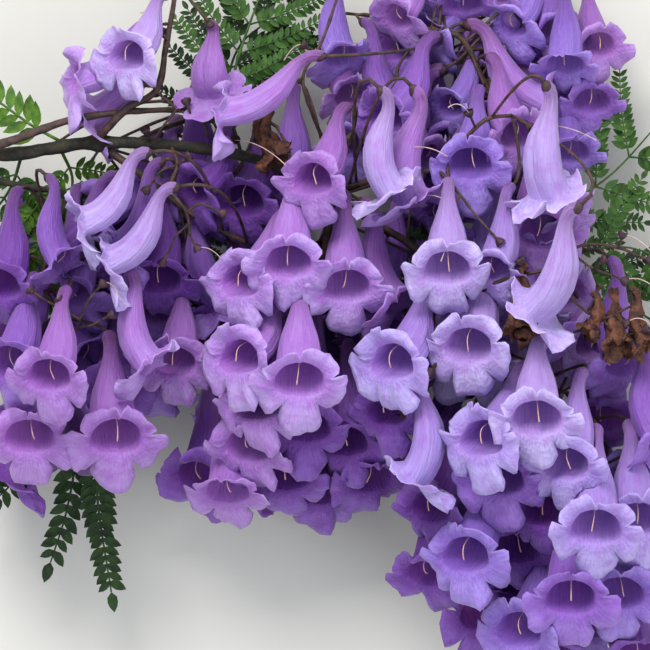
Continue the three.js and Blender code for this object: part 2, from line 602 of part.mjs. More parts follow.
// Leaflets in pairs along a rib, smaller towards its tip, and one more at its end.
function leafletsOn(curve, pairs, seed, first) {
  const found = [];
  for (let k = 0; k < pairs; k++) {
    const share = MathUtils.lerp(first, LEAFLETS.last, k / (pairs - 0.5));
    const way = curve.getTangentAt(share);
    const [tiltX, tiltY] = [0, 1].map((axis) => LEAFLETS.tilt * (wobble(k, seed + axis) - 0.5));
    const flat = new Vector3(tiltX, tiltY, 1);
    const normal = flat.addScaledVector(way, -flat.dot(way)).normalize();
    const side = new Vector3().crossVectors(normal, way);
    for (const hand of [1, -1]) {
      const slant = way.clone().multiplyScalar(LEAFLETS.ahead).addScaledVector(side, hand * LEAFLETS.aside).normalize();
      const long = LEAFLET.long * (LEAFLETS.long - LEAFLETS.shorter * share);
      found.push(leaflet(curve.getPointAt(share), slant, normal, long));
    }
  }
  const way = curve.getTangentAt(1);
  const end = curve.getPointAt(1).addScaledVector(way, -LEAFLET.sunk);
  const normal = new Vector3(0, 0, 1).addScaledVector(way, -way.z).normalize();
  found.push(leaflet(end, way, normal, LEAFLET.long * LEAFLETS.end));
  return found;
}

Object.entries(LEAVES).forEach(([name, { course, ribs = 0, rib, leaflets }], n) => {
  const curve = curveThrough(course.map(spot));
  const midrib = (extra) => tube(curve, MIDRIB.radii.map((r) => r + extra), MIDRIB.sides, MIDRIB.steps);
  const pieces = [midrib(0)];
  const blades = ribs ? [] : leafletsOn(curve, leaflets, n, MIDRIB.firstLeaflet);
  for (let k = 0; k < ribs; k++) {
    const share = MathUtils.lerp(SIDE_RIB.first, 1, k / (ribs - 1 || 1));
    const foot = curve.getPointAt(share);
    const way = curve.getTangentAt(share);
    const side = new Vector3().crossVectors(new Vector3(0, 0, 1), way).normalize();
    for (const hand of k < ribs - 1 ? [1, -1] : [RIB_FORM.end]) {
      const out = way.clone().multiplyScalar(SIDE_RIB.ahead).addScaledVector(side, hand * SIDE_RIB.aside).normalize();
      const long = rib * (RIB_FORM.long - RIB_FORM.shorter * share);
      const tip = foot.clone().addScaledVector(out, long);
      tip.z -= RIB_FORM.sag;
      const middle = foot.clone().lerp(tip, 0.5).addScaledVector(side, hand * RIB_FORM.bow);
      middle.z += RIB_FORM.bow;
      const ribCurve = curveThrough([foot, middle, tip]);
      pieces.push(tube(ribCurve, SIDE_RIB.radii, SIDE_RIB.sides, SIDE_RIB.steps));
      blades.push(...leafletsOn(ribCurve, leaflets, n + 10 * k, SIDE_RIB.firstLeaflet));
    }
  }
  const gap = (blade, other) => blade.minGap(other, CLOSE.leafSearch);
  const clear = blades.filter((blade) => before.every((other) => gap(blade, other) > LEAFLETS.clear));
  const bare = largestOf(cutClear(Manifold.union(pieces), before));
  const kept = clear.filter((blade) => gap(blade, bare) === 0);
  solids.leaves[name] = largestOf(Manifold.union([bare, ...kept]));
  before.push(solids.leaves[name].add(midrib(PETAL_GAP)));
});

// One mesh for each solid, moved so that the branch stands on Z = 0 about the middle of its box.
const root = new THREE.Group();
const addNodes = (group, colour) => {
  for (const [name, solid] of Object.entries(group)) {
    const material = new THREE.MeshStandardMaterial({ color: colour, roughness: 0.75, metalness: 0 });
    const mesh = new THREE.Mesh(settled(solid), material);
    mesh.name = name;
    root.add(mesh);
  }
};
addNodes(solids.limbs, COLOURS.bark);
addNodes(solids.clusters, COLOURS.petal);
addNodes(solids.flowers, COLOURS.petal);
addNodes(solids.leaves, COLOURS.leaf);
const box = new THREE.Box3().setFromObject(root);
const middle = box.getCenter(new Vector3());
for (const { geometry } of root.children) geometry.translate(-middle.x, -middle.y, -box.min.z);

export default root;
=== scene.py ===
# %% [markdown]
# # A flowering jacaranda branch
# A cut branch lies on a pale floor, seen from straight above. It carries close to two hundred
# lavender trumpet flowers in crowded clusters, with dark twigs, feathery leaves and a few dried
# flowers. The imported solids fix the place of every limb, of the front flowers and of six leaves.
# Here each one gets its real form: thin ruffled petals, knotty bark, small leaflets.

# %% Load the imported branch
import json
import math
import random
from functools import partial

import bmesh
import bpy
import numpy as np
from mathutils import Matrix, Vector, noise


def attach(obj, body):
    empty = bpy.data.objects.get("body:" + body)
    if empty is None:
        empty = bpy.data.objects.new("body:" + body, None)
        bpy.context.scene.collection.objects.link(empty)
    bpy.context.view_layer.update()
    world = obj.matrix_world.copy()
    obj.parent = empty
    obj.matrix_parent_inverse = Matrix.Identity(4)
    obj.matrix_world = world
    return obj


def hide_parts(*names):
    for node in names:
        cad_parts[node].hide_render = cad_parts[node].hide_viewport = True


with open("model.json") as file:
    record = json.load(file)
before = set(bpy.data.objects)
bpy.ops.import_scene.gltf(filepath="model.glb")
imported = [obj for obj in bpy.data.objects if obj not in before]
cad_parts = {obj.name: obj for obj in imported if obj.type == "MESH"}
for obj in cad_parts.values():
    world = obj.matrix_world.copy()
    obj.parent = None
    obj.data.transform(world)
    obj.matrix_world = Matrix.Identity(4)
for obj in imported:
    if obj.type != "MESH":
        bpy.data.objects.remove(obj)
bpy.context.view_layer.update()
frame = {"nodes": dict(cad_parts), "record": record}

# %% [markdown]
# ## From the picture to the frame
# The solids were laid out in millimetres over a picture 650 pixels wide, which shows 240 mm. The
# same small table of places is used again here, so that the fine shapes grow where the solids are.
# The cut end of the branch ties the two together: its mount gives the same point in the frame.

# %% Places in the picture
MM = 0.001
PICTURE_MM, PICTURE_PX = 240, 650
CUT_END = (-80, 154, 0)


def spot(place):
    """A place u pixels right, v pixels down and some millimetres up, as a point in millimetres."""
    u, v, depth = place
    flat = np.array([u - PICTURE_PX / 2, PICTURE_PX / 2 - v, 0.0]) * PICTURE_MM / PICTURE_PX
    return flat + [0, 0, depth]


cut_mount = next(m for m in frame["record"]["mounts"] if m["name"] == "cut_end")
SHIFT = np.array(cut_mount["pos_m"]) - spot(CUT_END) * MM
INTO_FRAME = Matrix.Translation(Vector(SHIFT)) @ Matrix.Scale(MM, 4)
print("the picture's middle is at", np.round(SHIFT * 1000, 1), "mm")

# %% [markdown]
# ## Camera, light and floor
# The branch lies down, so a camera straight above it sees what the picture shows. It stands three
# metres off with a long lens, which keeps the flowers that stand up towards it from growing too
# large. A broad soft light from the top of the picture leaves the throats and the lower flowers in
# shade, and a weaker one fills in from the other side.

# %% Camera
CAMERA_OFF, FOCUS_UP = 3.0, 0.02
SENSOR_MM = 36
focus_height = SHIFT[2] + FOCUS_UP

camera = bpy.data.objects.new("camera", bpy.data.cameras.new("camera"))
bpy.context.collection.objects.link(camera)
camera.data.sensor_width = SENSOR_MM
camera.data.lens = SENSOR_MM * CAMERA_OFF / (PICTURE_MM * MM)
camera.data.clip_end = 50
camera.location = (SHIFT[0], SHIFT[1], focus_height + CAMERA_OFF)
bpy.context.scene.camera = camera
print("lens", round(camera.data.lens), "mm at", CAMERA_OFF, "m")


# %% Lights
BRANCH_MIDDLE = Vector((0, 0, 0.06))


def soft_light(name, place, size, power, colour):
    """A square area light that faces the middle of the branch."""
    data = bpy.data.lights.new(name, "AREA")
    data.size, data.energy, data.color = size, power, colour
    light = bpy.data.objects.new(name, data)
    light.location = place
    light.rotation_euler = (BRANCH_MIDDLE - light.location).to_track_quat("-Z", "Y").to_euler()
    bpy.context.collection.objects.link(light)


soft_light("window", (-0.3, 0.95, 1.15), 0.6, 20.5, (1.0, 0.985, 0.95))
soft_light("reflector", (0.7, -0.5, 1.0), 0.9, 4, (0.95, 0.97, 1.0))
bpy.context.scene.view_settings.view_transform = "Standard"
world = bpy.data.worlds.new("pale_room")
bpy.context.scene.world = world
world.use_nodes = True
world.node_tree.nodes["Background"].inputs["Color"].default_value = (0.93, 0.96, 1.0, 1)
world.node_tree.nodes["Background"].inputs["Strength"].default_value = 0.94
print("two soft lights and a pale room")

# %% [markdown]
# ## Helpers for materials
# Every finish is built from nodes. Two short helpers keep the cells readable: one starts a
# material with its constant values set on the shader itself, the other adds a node and wires it.

# %% Start a material, add a node


def new_finish(name, roughness, **constants):
    """A material, its node tree and its shader, with plain values set on the shader."""
    material = bpy.data.materials.new(name)
    material.use_nodes = True
    shader = material.node_tree.nodes["Principled BSDF"]
    shader.inputs["Roughness"].default_value = roughness
    for socket, value in constants.items():
        shader.inputs[socket.replace("_", " ")].default_value = value
    return material, material.node_tree, shader


def node(tree, kind, wires=None, **settings):
    """A node with its settings, whose input sockets take the values or outputs in wires."""
    made = tree.nodes.new(kind)
    for key, value in settings.items():
        setattr(made, key, value)
    for socket, value in (wires or {}).items():
        if isinstance(value, bpy.types.NodeSocket):
            tree.links.new(value, made.inputs[socket])
        else:
            made.inputs[socket].default_value = value
    return made


def ramp(tree, value, low, high):
    """Nought below low, one above high, and smooth between."""
    wires = {"Value": value, "From Min": low, "From Max": high}
    return node(tree, "ShaderNodeMapRange", wires, interpolation_type="SMOOTHSTEP").outputs["Result"]


def blend(tree, factor, first, second):
    """One colour over another by a factor."""
    return node(tree, "ShaderNodeMix", {0: factor, 6: first, 7: second}, data_type="RGBA").outputs[2]


def new_group(name, inputs, outputs):
    """A shader node group with named sockets, and its two ends."""
    tree = bpy.data.node_groups.new(name, "ShaderNodeTree")
    for socket, kind in inputs:
        tree.interface.new_socket(socket, in_out="INPUT", socket_type="NodeSocket" + kind)
    for socket, kind in outputs:
        tree.interface.new_socket(socket, in_out="OUTPUT", socket_type="NodeSocket" + kind)
    return tree, tree.nodes.new("NodeGroupInput").outputs, tree.nodes.new("NodeGroupOutput").inputs


def noise_of(tree, vector, scale, detail=4.0):
    """Noise over a vector, as a factor."""
    wires = {"Vector": vector, "Scale": scale, "Detail": detail}
    return node(tree, "ShaderNodeTexNoise", wires).outputs["Fac"]


def scaled(tree, vector, by):
    """A vector with each part multiplied."""
    made = node(tree, "ShaderNodeVectorMath", {0: vector, 1: by}, operation="MULTIPLY")
    return made.outputs["Vector"]


def reckon(tree, first, operation, second=0.0):
    """What an operation makes of one number, or of two."""
    return node(tree, "ShaderNodeMath", {0: first, 1: second}, operation=operation).outputs[0]


# %% A plain pale floor
floor_bm = bmesh.new()
bmesh.ops.create_grid(floor_bm, x_segments=1, y_segments=1, size=4)
floor_mesh = bpy.data.meshes.new("floor")
floor_bm.to_mesh(floor_mesh)
floor_bm.free()
floor = bpy.data.objects.new("floor", floor_mesh)
bpy.context.collection.objects.link(floor)
floor_finish, floor_tree, floor_shader = new_finish("pale_floor", 0.8)
floor_coords = node(floor_tree, "ShaderNodeTexCoord").outputs["Object"]
floor_noise = noise_of(floor_tree, floor_coords, 3.0)
floor_colour = blend(floor_tree, floor_noise, (0.57, 0.565, 0.53, 1), (0.60, 0.595, 0.56, 1))
floor_tree.links.new(floor_colour, floor_shader.inputs["Base Color"])
floor_mesh.materials.append(floor_finish)
print("floor laid")

# %% [markdown]
# ## Petal colours
# A petal of this flower is never one colour. Inside, the throat is deep violet and turns magenta
# purple at the mouth, where it is partly its own colour and partly painted light, for the glow of
# light through the thin petals, and the lobes are pale lavender with fine darker veins. Outside, the
# neck is dusky and the tube lavender; the neck's darkness is partly its own tone and partly painted
# shade, where the necks hang among the flowers. All petals share one node group. It washes four
# colours along the petal, from the neck to its edge, and changes them sooner on the lip than on
# the roof. Over this lie blotches, and then pale folds, streaks and veins that fade towards the
# edge. The pale folds are partly pale streaks and partly a painted highlight on the folds' ridges.

# %% The petal wash
STAIN_SHIFT, LIP_SHIFT = 0.16, 0.16
BLOTCH, FOLD_STREAK_AND_HIGHLIGHT, STREAK, EDGE_FADE = 0.62, 0.42, 0.42, 0.6
petal_wash, wash_in, wash_out = new_group(
    "petal wash",
    [("UV", "Vector"), ("Place", "Vector"), ("Neck", "Color"), ("Throat", "Color"), ("Lobe", "Color"),
     ("Edge", "Color"), ("Blush", "Color"), ("Neck end", "Float"), ("Throat end", "Float"),
     ("Lobe start", "Float"), ("Veins", "Float")],
    [("Colour", "Color"), ("Height", "Float"), ("Gloss", "Float")],
)
sums, step = partial(reckon, petal_wash), partial(ramp, petal_wash)


def petal_noise(fine_round, fine_along, scale=1.0, detail=5.0):
    """Noise over a petal's map, finer round it than along it."""
    stretched = scaled(petal_wash, wash_in["UV"], (fine_round, fine_along, 1.0))
    return noise_of(petal_wash, stretched, scale, detail)


def coated(below, colour, mask, *others):
    """One of the group's colours over what is below, as strong as the masks multiplied."""
    for other in others:
        mask = sums(mask, "MULTIPLY", other)
    return blend(petal_wash, mask, below, wash_in[colour])


petal_map = node(petal_wash, "ShaderNodeSeparateXYZ", {0: wash_in["UV"]}).outputs
around, along = petal_map["X"], petal_map["Y"]
stains = sums(petal_noise(9.0, 5.0, detail=4.0), "SUBTRACT", 0.5)
from_top = sums(sums(around, "MULTIPLY", 2 * math.pi), "COSINE")
drift = sums(along, "ADD", sums(stains, "MULTIPLY", STAIN_SHIFT))
drift = sums(drift, "SUBTRACT", sums(sums(from_top, "MINIMUM"), "MULTIPLY", LIP_SHIFT))
washed = coated(wash_in["Neck"], "Throat", step(along, 0.1, wash_in["Neck end"]))
washed = coated(washed, "Lobe", step(drift, wash_in["Throat end"], wash_in["Lobe start"]))
washed = coated(washed, "Edge", step(drift, 0.8, 1.02))
blotches = noise_of(petal_wash, wash_in["Place"], 170.0, 3.0)
washed = coated(washed, "Blush", step(blotches, 0.45, 0.7), BLOTCH)
edge_fade = sums(1.0, "SUBTRACT", sums(step(along, 0.66, 1.0), "MULTIPLY", EDGE_FADE))
folds, streaks, veins = petal_noise(15.0, 2.6), petal_noise(42.0, 2.6, 2.0, 4.0), petal_noise(120.0, 5.0)
# Pale folds: partly pale streaks, partly a painted highlight on the fold ridges that the bump raises.
washed = coated(washed, "Edge", step(folds, 0.46, 0.72), FOLD_STREAK_AND_HIGHLIGHT, edge_fade)
washed = coated(washed, "Blush", step(streaks, 0.46, 0.68), STREAK, edge_fade)
washed = coated(washed, "Blush", step(veins, 0.5, 0.64), wash_in["Veins"], edge_fade)
crinkles = petal_noise(55.0, 16.0, detail=6.0)
height = sums(crinkles, "ADD", sums(folds, "MULTIPLY", 1.6))
gloss = sums(sums(crinkles, "MULTIPLY", 0.2), "ADD", 0.42)
for socket, value in (("Colour", washed), ("Height", height), ("Gloss", gloss)):
    petal_wash.links.new(value, wash_out[socket])
print("petal wash:", len(petal_wash.nodes), "nodes")

# %% [markdown]
# The flowers differ in hue: some are pinker, others bluer. They also differ in lightness by where
# they hang, and this is painted: those in the light get pale, cool colours as painted light, and the
# lower ones, which hang in each other's shade, get a deep violet as painted shade. Each tint names
# its throat, lobe and edge colours, and gives two materials, one for the inside of the petals and
# one for the outside. Each flower is dealt one tint.

# %% Tints
# Apart from their hue, the tints differ in lightness by where the flowers hang: the palest is painted light
# and the light tint partly so, while the mid tint is partly and the darkest wholly painted shade.
TINTS = {
    # throat, lobes and edge, how much of the throat's colour the outside takes, how dusky the neck is (partly
    # painted shade)
    "silver_painted_light": ((0.30, 0.10, 0.47), (0.40, 0.295, 0.675), (0.505, 0.41, 0.79), 0.28, 0.75),
    "cool": ((0.25, 0.065, 0.44), (0.35, 0.255, 0.665), (0.435, 0.345, 0.75), 0.35, 0.85),
    "light": ((0.30, 0.06, 0.43), (0.36, 0.205, 0.61), (0.45, 0.30, 0.70), 0.35, 0.95),
    "warm": ((0.25, 0.05, 0.37), (0.30, 0.145, 0.49), (0.37, 0.21, 0.575), 0.35, 1.0),
    "blue": ((0.17, 0.04, 0.36), (0.235, 0.145, 0.56), (0.31, 0.21, 0.65), 0.3, 0.9),
    "mid": ((0.17, 0.034, 0.32), (0.222, 0.102, 0.475), (0.29, 0.16, 0.57), 0.3, 0.85),
    "deep_painted_shade": ((0.105, 0.016, 0.21), (0.14, 0.04, 0.315), (0.19, 0.078, 0.40), 0.3, 0.8),
    "wilted": ((0.05, 0.01, 0.09), (0.08, 0.025, 0.17), (0.11, 0.05, 0.22), 0.3, 0.5),
}
# The outside of each neck is darkened towards this dusky colour: partly the neck's own tone and partly
# painted shade.
NECK_DUSK_AND_SHADE, NECK_DUSK_AND_SHADE_SHARE = (0.10, 0.035, 0.085), 0.75
# The throat inside is painted lighter towards the mouth: part way to the lobe colour, brightened and capped.
# This is partly its own colour and partly painted light, for the glow through the thin petals.
LIT_SHARE, LIT_GAIN, LIT_MOST = 0.32, 1.2, 0.8


def petal_finish(name, colours, neck_end, throat_end, lobe_start, veins):
    """One side of the petals: five colours washed along them, with veins and crinkles."""
    material, tree, shader = new_finish(
        name, 0.5, Subsurface_Weight=0.22, Subsurface_Scale=0.0022, Subsurface_Radius=(0.8, 0.45, 1.0),
        Sheen_Weight=0.12, Sheen_Roughness=0.4, Specular_IOR_Level=0.32)
    coords = node(tree, "ShaderNodeTexCoord").outputs
    wires = {"UV": coords["UV"], "Place": coords["Object"], "Neck end": neck_end,
             "Throat end": throat_end, "Lobe start": lobe_start, "Veins": veins}
    wires.update({socket: (*colour, 1) for socket, colour in colours.items()})
    wash = node(tree, "ShaderNodeGroup", wires, node_tree=petal_wash).outputs
    bump = node(tree, "ShaderNodeBump", {"Height": wash["Height"], "Strength": 0.8, "Distance": 0.0009})
    tree.links.new(wash["Colour"], shader.inputs["Base Color"])
    tree.links.new(wash["Gloss"], shader.inputs["Roughness"])
    tree.links.new(bump.outputs["Normal"], shader.inputs["Normal"])
    return material


def mixed(first, second, share):
    """A colour part of the way from one to another."""
    return tuple(a + (b - a) * share for a, b in zip(first, second))


petal_pairs = {}
for tint, (throat, lobe, edge, tube, neck) in TINTS.items():
    neck_dusk_and_shade = mixed(throat, NECK_DUSK_AND_SHADE, NECK_DUSK_AND_SHADE_SHARE)
    lit_throat = tuple(min(LIT_GAIN * c, LIT_MOST) for c in mixed(throat, lobe, LIT_SHARE))
    outside = {"Neck": mixed(lobe, neck_dusk_and_shade, neck), "Throat": mixed(lobe, throat, tube),
               "Lobe": lobe, "Edge": edge, "Blush": mixed(lobe, throat, 0.7)}
    inside = {"Neck": throat, "Throat": lit_throat,
              "Lobe": lobe, "Edge": edge, "Blush": mixed(lobe, throat, 0.6)}
    petal_pairs[tint] = [
        petal_finish(f"petal_outside_{tint}", outside, 0.34, 0.38, 0.6, 0.22),
        petal_finish(f"petal_inside_{tint}", inside, 0.3, 0.42, 0.88, 0.7),
    ]
print("petal materials:", 2 * len(petal_pairs))

# %% [markdown]
# ## Bark, calyx, beard and leaf
# The oldest wood is grey brown with cracks and pale pores; young twigs are smoother and reddish.
# The calyx that holds each flower is a small dark maroon cup. Out of each throat hangs a pale
# peach beard. Leaflets are painted bright green where they catch the light, as painted light, and
# painted darker low in the branch, as painted shade.
# One group gives them all their mottling: two colours mixed by noise, and a height to go with it.

# %% The mottle
mottle, mottle_in, mottle_out = new_group(
    "mottle",
    [("Place", "Vector"), ("Scale", "Float"), ("Low", "Color"), ("High", "Color"),
     ("Specks", "Color"), ("Speck share", "Float")],
    [("Colour", "Color"), ("Height", "Float")],
)
broad = noise_of(mottle, mottle_in["Place"], mottle_in["Scale"], 6.0)
patched = blend(mottle, ramp(mottle, broad, 0.35, 0.66), mottle_in["Low"], mottle_in["High"])
grain = noise_of(mottle, scaled(mottle, mottle_in["Place"], (5.0, 5.0, 5.0)), mottle_in["Scale"], 3.0)
specks = reckon(mottle, ramp(mottle, grain, 0.6, 0.68), "MULTIPLY", mottle_in["Speck share"])
relief = reckon(mottle, broad, "ADD", reckon(mottle, grain, "MULTIPLY", 0.35))
mottle.links.new(blend(mottle, specks, patched, mottle_in["Specks"]), mottle_out["Colour"])
mottle.links.new(relief, mottle_out["Height"])


def mottled_finish(name, roughness, scale, low, high, specks, share, bump, **constants):
    """A material of two mottled colours with specks, and a bump that follows them."""
    material, tree, shader = new_finish(name, roughness, **constants)
    wires = {"Place": node(tree, "ShaderNodeTexCoord").outputs["Object"], "Scale": scale,
             "Low": (*low, 1), "High": (*high, 1), "Specks": (*specks, 1), "Speck share": share}
    own = node(tree, "ShaderNodeGroup", wires, node_tree=mottle).outputs
    relief = node(tree, "ShaderNodeBump", {"Height": own["Height"], "Strength": 0.6, "Distance": bump})
    span = {"Value": own["Height"], "To Min": roughness - 0.12, "To Max": roughness + 0.1}
    tree.links.new(own["Colour"], shader.inputs["Base Color"])
    tree.links.new(node(tree, "ShaderNodeMapRange", span).outputs["Result"], shader.inputs["Roughness"])
    tree.links.new(relief.outputs["Normal"], shader.inputs["Normal"])
    return material


MOTTLED = {
    # roughness, scale, the two colours, the specks' colour and share, the bump's height
    "old_bark": (0.8, 260, (0.007, 0.007, 0.004), (0.026, 0.023, 0.012), (0.085, 0.075, 0.045), 0.45, 0.0008),
    "young_bark": (0.65, 420, (0.022, 0.012, 0.010), (0.075, 0.034, 0.026), (0.13, 0.085, 0.05), 0.5, 0.0005),
    "calyx": (0.6, 700, (0.016, 0.006, 0.010), (0.06, 0.02, 0.032), (0.11, 0.055, 0.05), 0.4, 0.0005),
    "beard": (0.5, 900, (0.66, 0.36, 0.28), (0.80, 0.53, 0.40), (0.9, 0.72, 0.56), 0.6, 0.0002),
    "old_style": (0.6, 500, (0.42, 0.28, 0.26), (0.60, 0.45, 0.42), (0.7, 0.6, 0.5), 0.4, 0.0001),
    "dried_flower": (0.75, 350, (0.035, 0.010, 0.006), (0.14, 0.045, 0.020), (0.25, 0.12, 0.06), 0.6, 0.0008),
}
old_bark, young_bark, calyx_finish, beard_finish, style_finish, dried_finish = (
    mottled_finish(name, *own) for name, own in MOTTLED.items())
# The sunlit green is painted light and the shaded one painted shade; each leaf is dealt one.
LEAF_GREENS = {
    "sunlit": ((0.030, 0.090, 0.006), (0.085, 0.185, 0.012)),
    "green": ((0.012, 0.048, 0.005), (0.038, 0.105, 0.010)),
    "shaded": ((0.004, 0.018, 0.003), (0.014, 0.045, 0.006)),
}
LEAF_SPECKS = (0.25, 0.35, 0.06)
leaf_finishes = {
    name: mottled_finish(
        "leaf_" + name, 0.6, 320, low, high, mixed(high, LEAF_SPECKS, 0.3), 0.3, 0.0003,
        Subsurface_Weight=0.1, Subsurface_Scale=0.001, Specular_IOR_Level=0.3)
    for name, (low, high) in LEAF_GREENS.items()
}
print("bark, calyx, beard, dried and leaf materials:", len(MOTTLED) + len(leaf_finishes))

# %% [markdown]
# ## Courses
# Every limb and stem follows a smooth course through a few places, the same spline as in the
# solids. A course is walked by the share of its length, so that twigs and flowers can be set along
# it evenly.

# %% The spline and the walk along it


def unit(vector):
    """A vector of the same direction and length one."""
    return vector / np.linalg.norm(vector)


def spline_points(knots, t):
    """Points at t, from 0 to 1, of a centripetal spline through the knots."""
    padded = np.vstack([2 * knots[0] - knots[1], knots, 2 * knots[-1] - knots[-2]])
    place = np.clip(t, 0, 1) * (len(knots) - 1)
    span = np.minimum(place.astype(int), len(knots) - 2)
    w = (place - span)[:, None]
    p0, p1, p2, p3 = (padded[span + k] for k in range(4))
    legs = ((p0, p1), (p1, p2), (p2, p3))
    d0, d1, d2 = (np.sqrt(np.linalg.norm(b - a, axis=1))[:, None] for a, b in legs)
    leave = ((p1 - p0) / d0 - (p2 - p0) / (d0 + d1) + (p2 - p1) / d1) * d1
    reach = ((p2 - p1) / d1 - (p3 - p1) / (d1 + d2) + (p3 - p2) / d2) * d1
    first_half = (2 * w**3 - 3 * w**2 + 1) * p1 + (w**3 - 2 * w**2 + w) * leave
    return first_half + (3 * w**2 - 2 * w**3) * p2 + (w**3 - w**2) * reach


def bow_points(foot, knee, tip, t):
    """Points at t of a bow from foot to tip that leans towards knee."""
    t = np.clip(t, 0, 1)[:, None]
    return (1 - t) ** 2 * foot + 2 * t * (1 - t) * knee + t**2 * tip


class Course:
    """A curve that is walked by the share of its length."""

    STEPS = np.linspace(0, 1, 201)

    def __init__(self, curve):
        self.curve = curve
        steps = np.linalg.norm(np.diff(curve(self.STEPS), axis=0), axis=1)
        self.walked = np.concatenate([[0], np.cumsum(steps)])
        self.length = self.walked[-1]

    def at(self, shares):
        return self.curve(np.interp(np.atleast_1d(shares) * self.length, self.walked, self.STEPS))

    def way(self, shares):
        t = np.interp(np.atleast_1d(shares) * self.length, self.walked, self.STEPS)
        ahead = self.curve(np.minimum(t + 1e-4, 1)) - self.curve(np.maximum(t - 1e-4, 0))
        return ahead / np.linalg.norm(ahead, axis=1)[:, None]


def spline_course(knots):
    """A smooth course through points in millimetres."""
    return Course(lambda t: spline_points(knots, t))


def course_through(places):
    """A smooth course through places in the picture."""
    return spline_course(np.array([spot(place) for place in places]))


def bow(foot, knee, tip):
    """A course that bends once."""
    return Course(lambda t: bow_points(foot, knee, tip, t))


# %% [markdown]
# The limbs, the clusters' stems, and then the listed flowers: where each mouth is, which way it
# faces in the picture, how far it looks up, its size, what carries it and its tint.

# %% Limbs and stems
LIMBS = {
    # places in the picture, the radius at both ends
    "branch_main": ([(-80, 154, 0), (-40, 154, 0), (10, 153, 0), (90, 142, 2), (190, 146, 3),
                     (262, 160, 1), (333, 190, -2)], (2.7, 1.7)),
    "bough_upper": ([(-44, 152, 3), (0, 143, 6), (75, 118, 8), (165, 109, 6), (232, 113, 0)], (1.7, 0.8)),
    "bough_top": ([(96, 138, 4), (126, 108, 10), (155, 90, 8), (165, 45, 4), (173, 0, 2),
                   (176, -28, 0)], (1.6, 0.8)),
    "bough_left": ([(-50, 158, -1), (-16, 176, 0), (30, 187, 0), (62, 194, -6), (52, 232, -8)], (1.4, 1.0)),
    "bough_right": ([(336, 196, -3), (375, 222, -1), (420, 252, 1), (452, 302, -4),
                     (500, 366, -8)], (1.6, 1.1)),
    "bough_far_right": ([(340, 190, 0), (395, 173, 12), (437, 168, 16), (463, 141, 18), (487, 119, 18),
                         (512, 115, 16)], (1.3, 0.7)),
    "bough_back": ([(296, 174, 0), (345, 140, -8), (400, 80, -15), (432, 26, -16)], (1.6, 1.1)),
}
STEMS = {
    # what carries it, places, radii, how many flowers hang round it, how far off, on which sides
    "panicle_lower": ("branch_main", [(100, 146, 0), (122, 160, 1), (166, 194, -2), (205, 222, -4),
                                      (246, 242, -8)], (1.5, 0.9), 3, 4, "back"),
    "panicle_left": ("bough_left", [(52, 234, -8), (40, 285, -10), (62, 320, -13),
                                    (66, 380, -18)], (1.0, 0.8), 5, 6, "back"),
    "panicle_mid": ("branch_main", [(333, 193, -4), (326, 240, -14), (314, 310, -19),
                                    (300, 400, -21)], (1.6, 0.9), 5, 6, "back"),
    "panicle_right": ("bough_right", [(502, 369, -8), (545, 430, -14), (590, 490, -16),
                                      (612, 560, -18)], (1.1, 0.8), 6, 6, "back"),
    "panicle_back": ("bough_back", [(434, 24, -16), (462, 34, -17), (486, 78, -18),
                                    (520, 140, -18)], (1.1, 0.8), 12, 5, "round"),
}
PETAL_GAP = 0.35
FOOT_REACH = 4
courses = {name: course_through(places) for name, (places, _) in LIMBS.items()}
radii = {name: ends for name, (_, ends) in LIMBS.items()}
for name, (carrier, places, ends, *_) in STEMS.items():
    knots = np.array([spot(place) for place in places])
    tip = courses[carrier].at(1)[0]
    if np.linalg.norm(tip - knots[0]) < FOOT_REACH:
        knots[0] = tip + PETAL_GAP * courses[carrier].way(1)[0]
    courses[name] = spline_course(knots)
    radii[name] = ends
print({name: round(course.length) for name, course in courses.items()}, "mm")
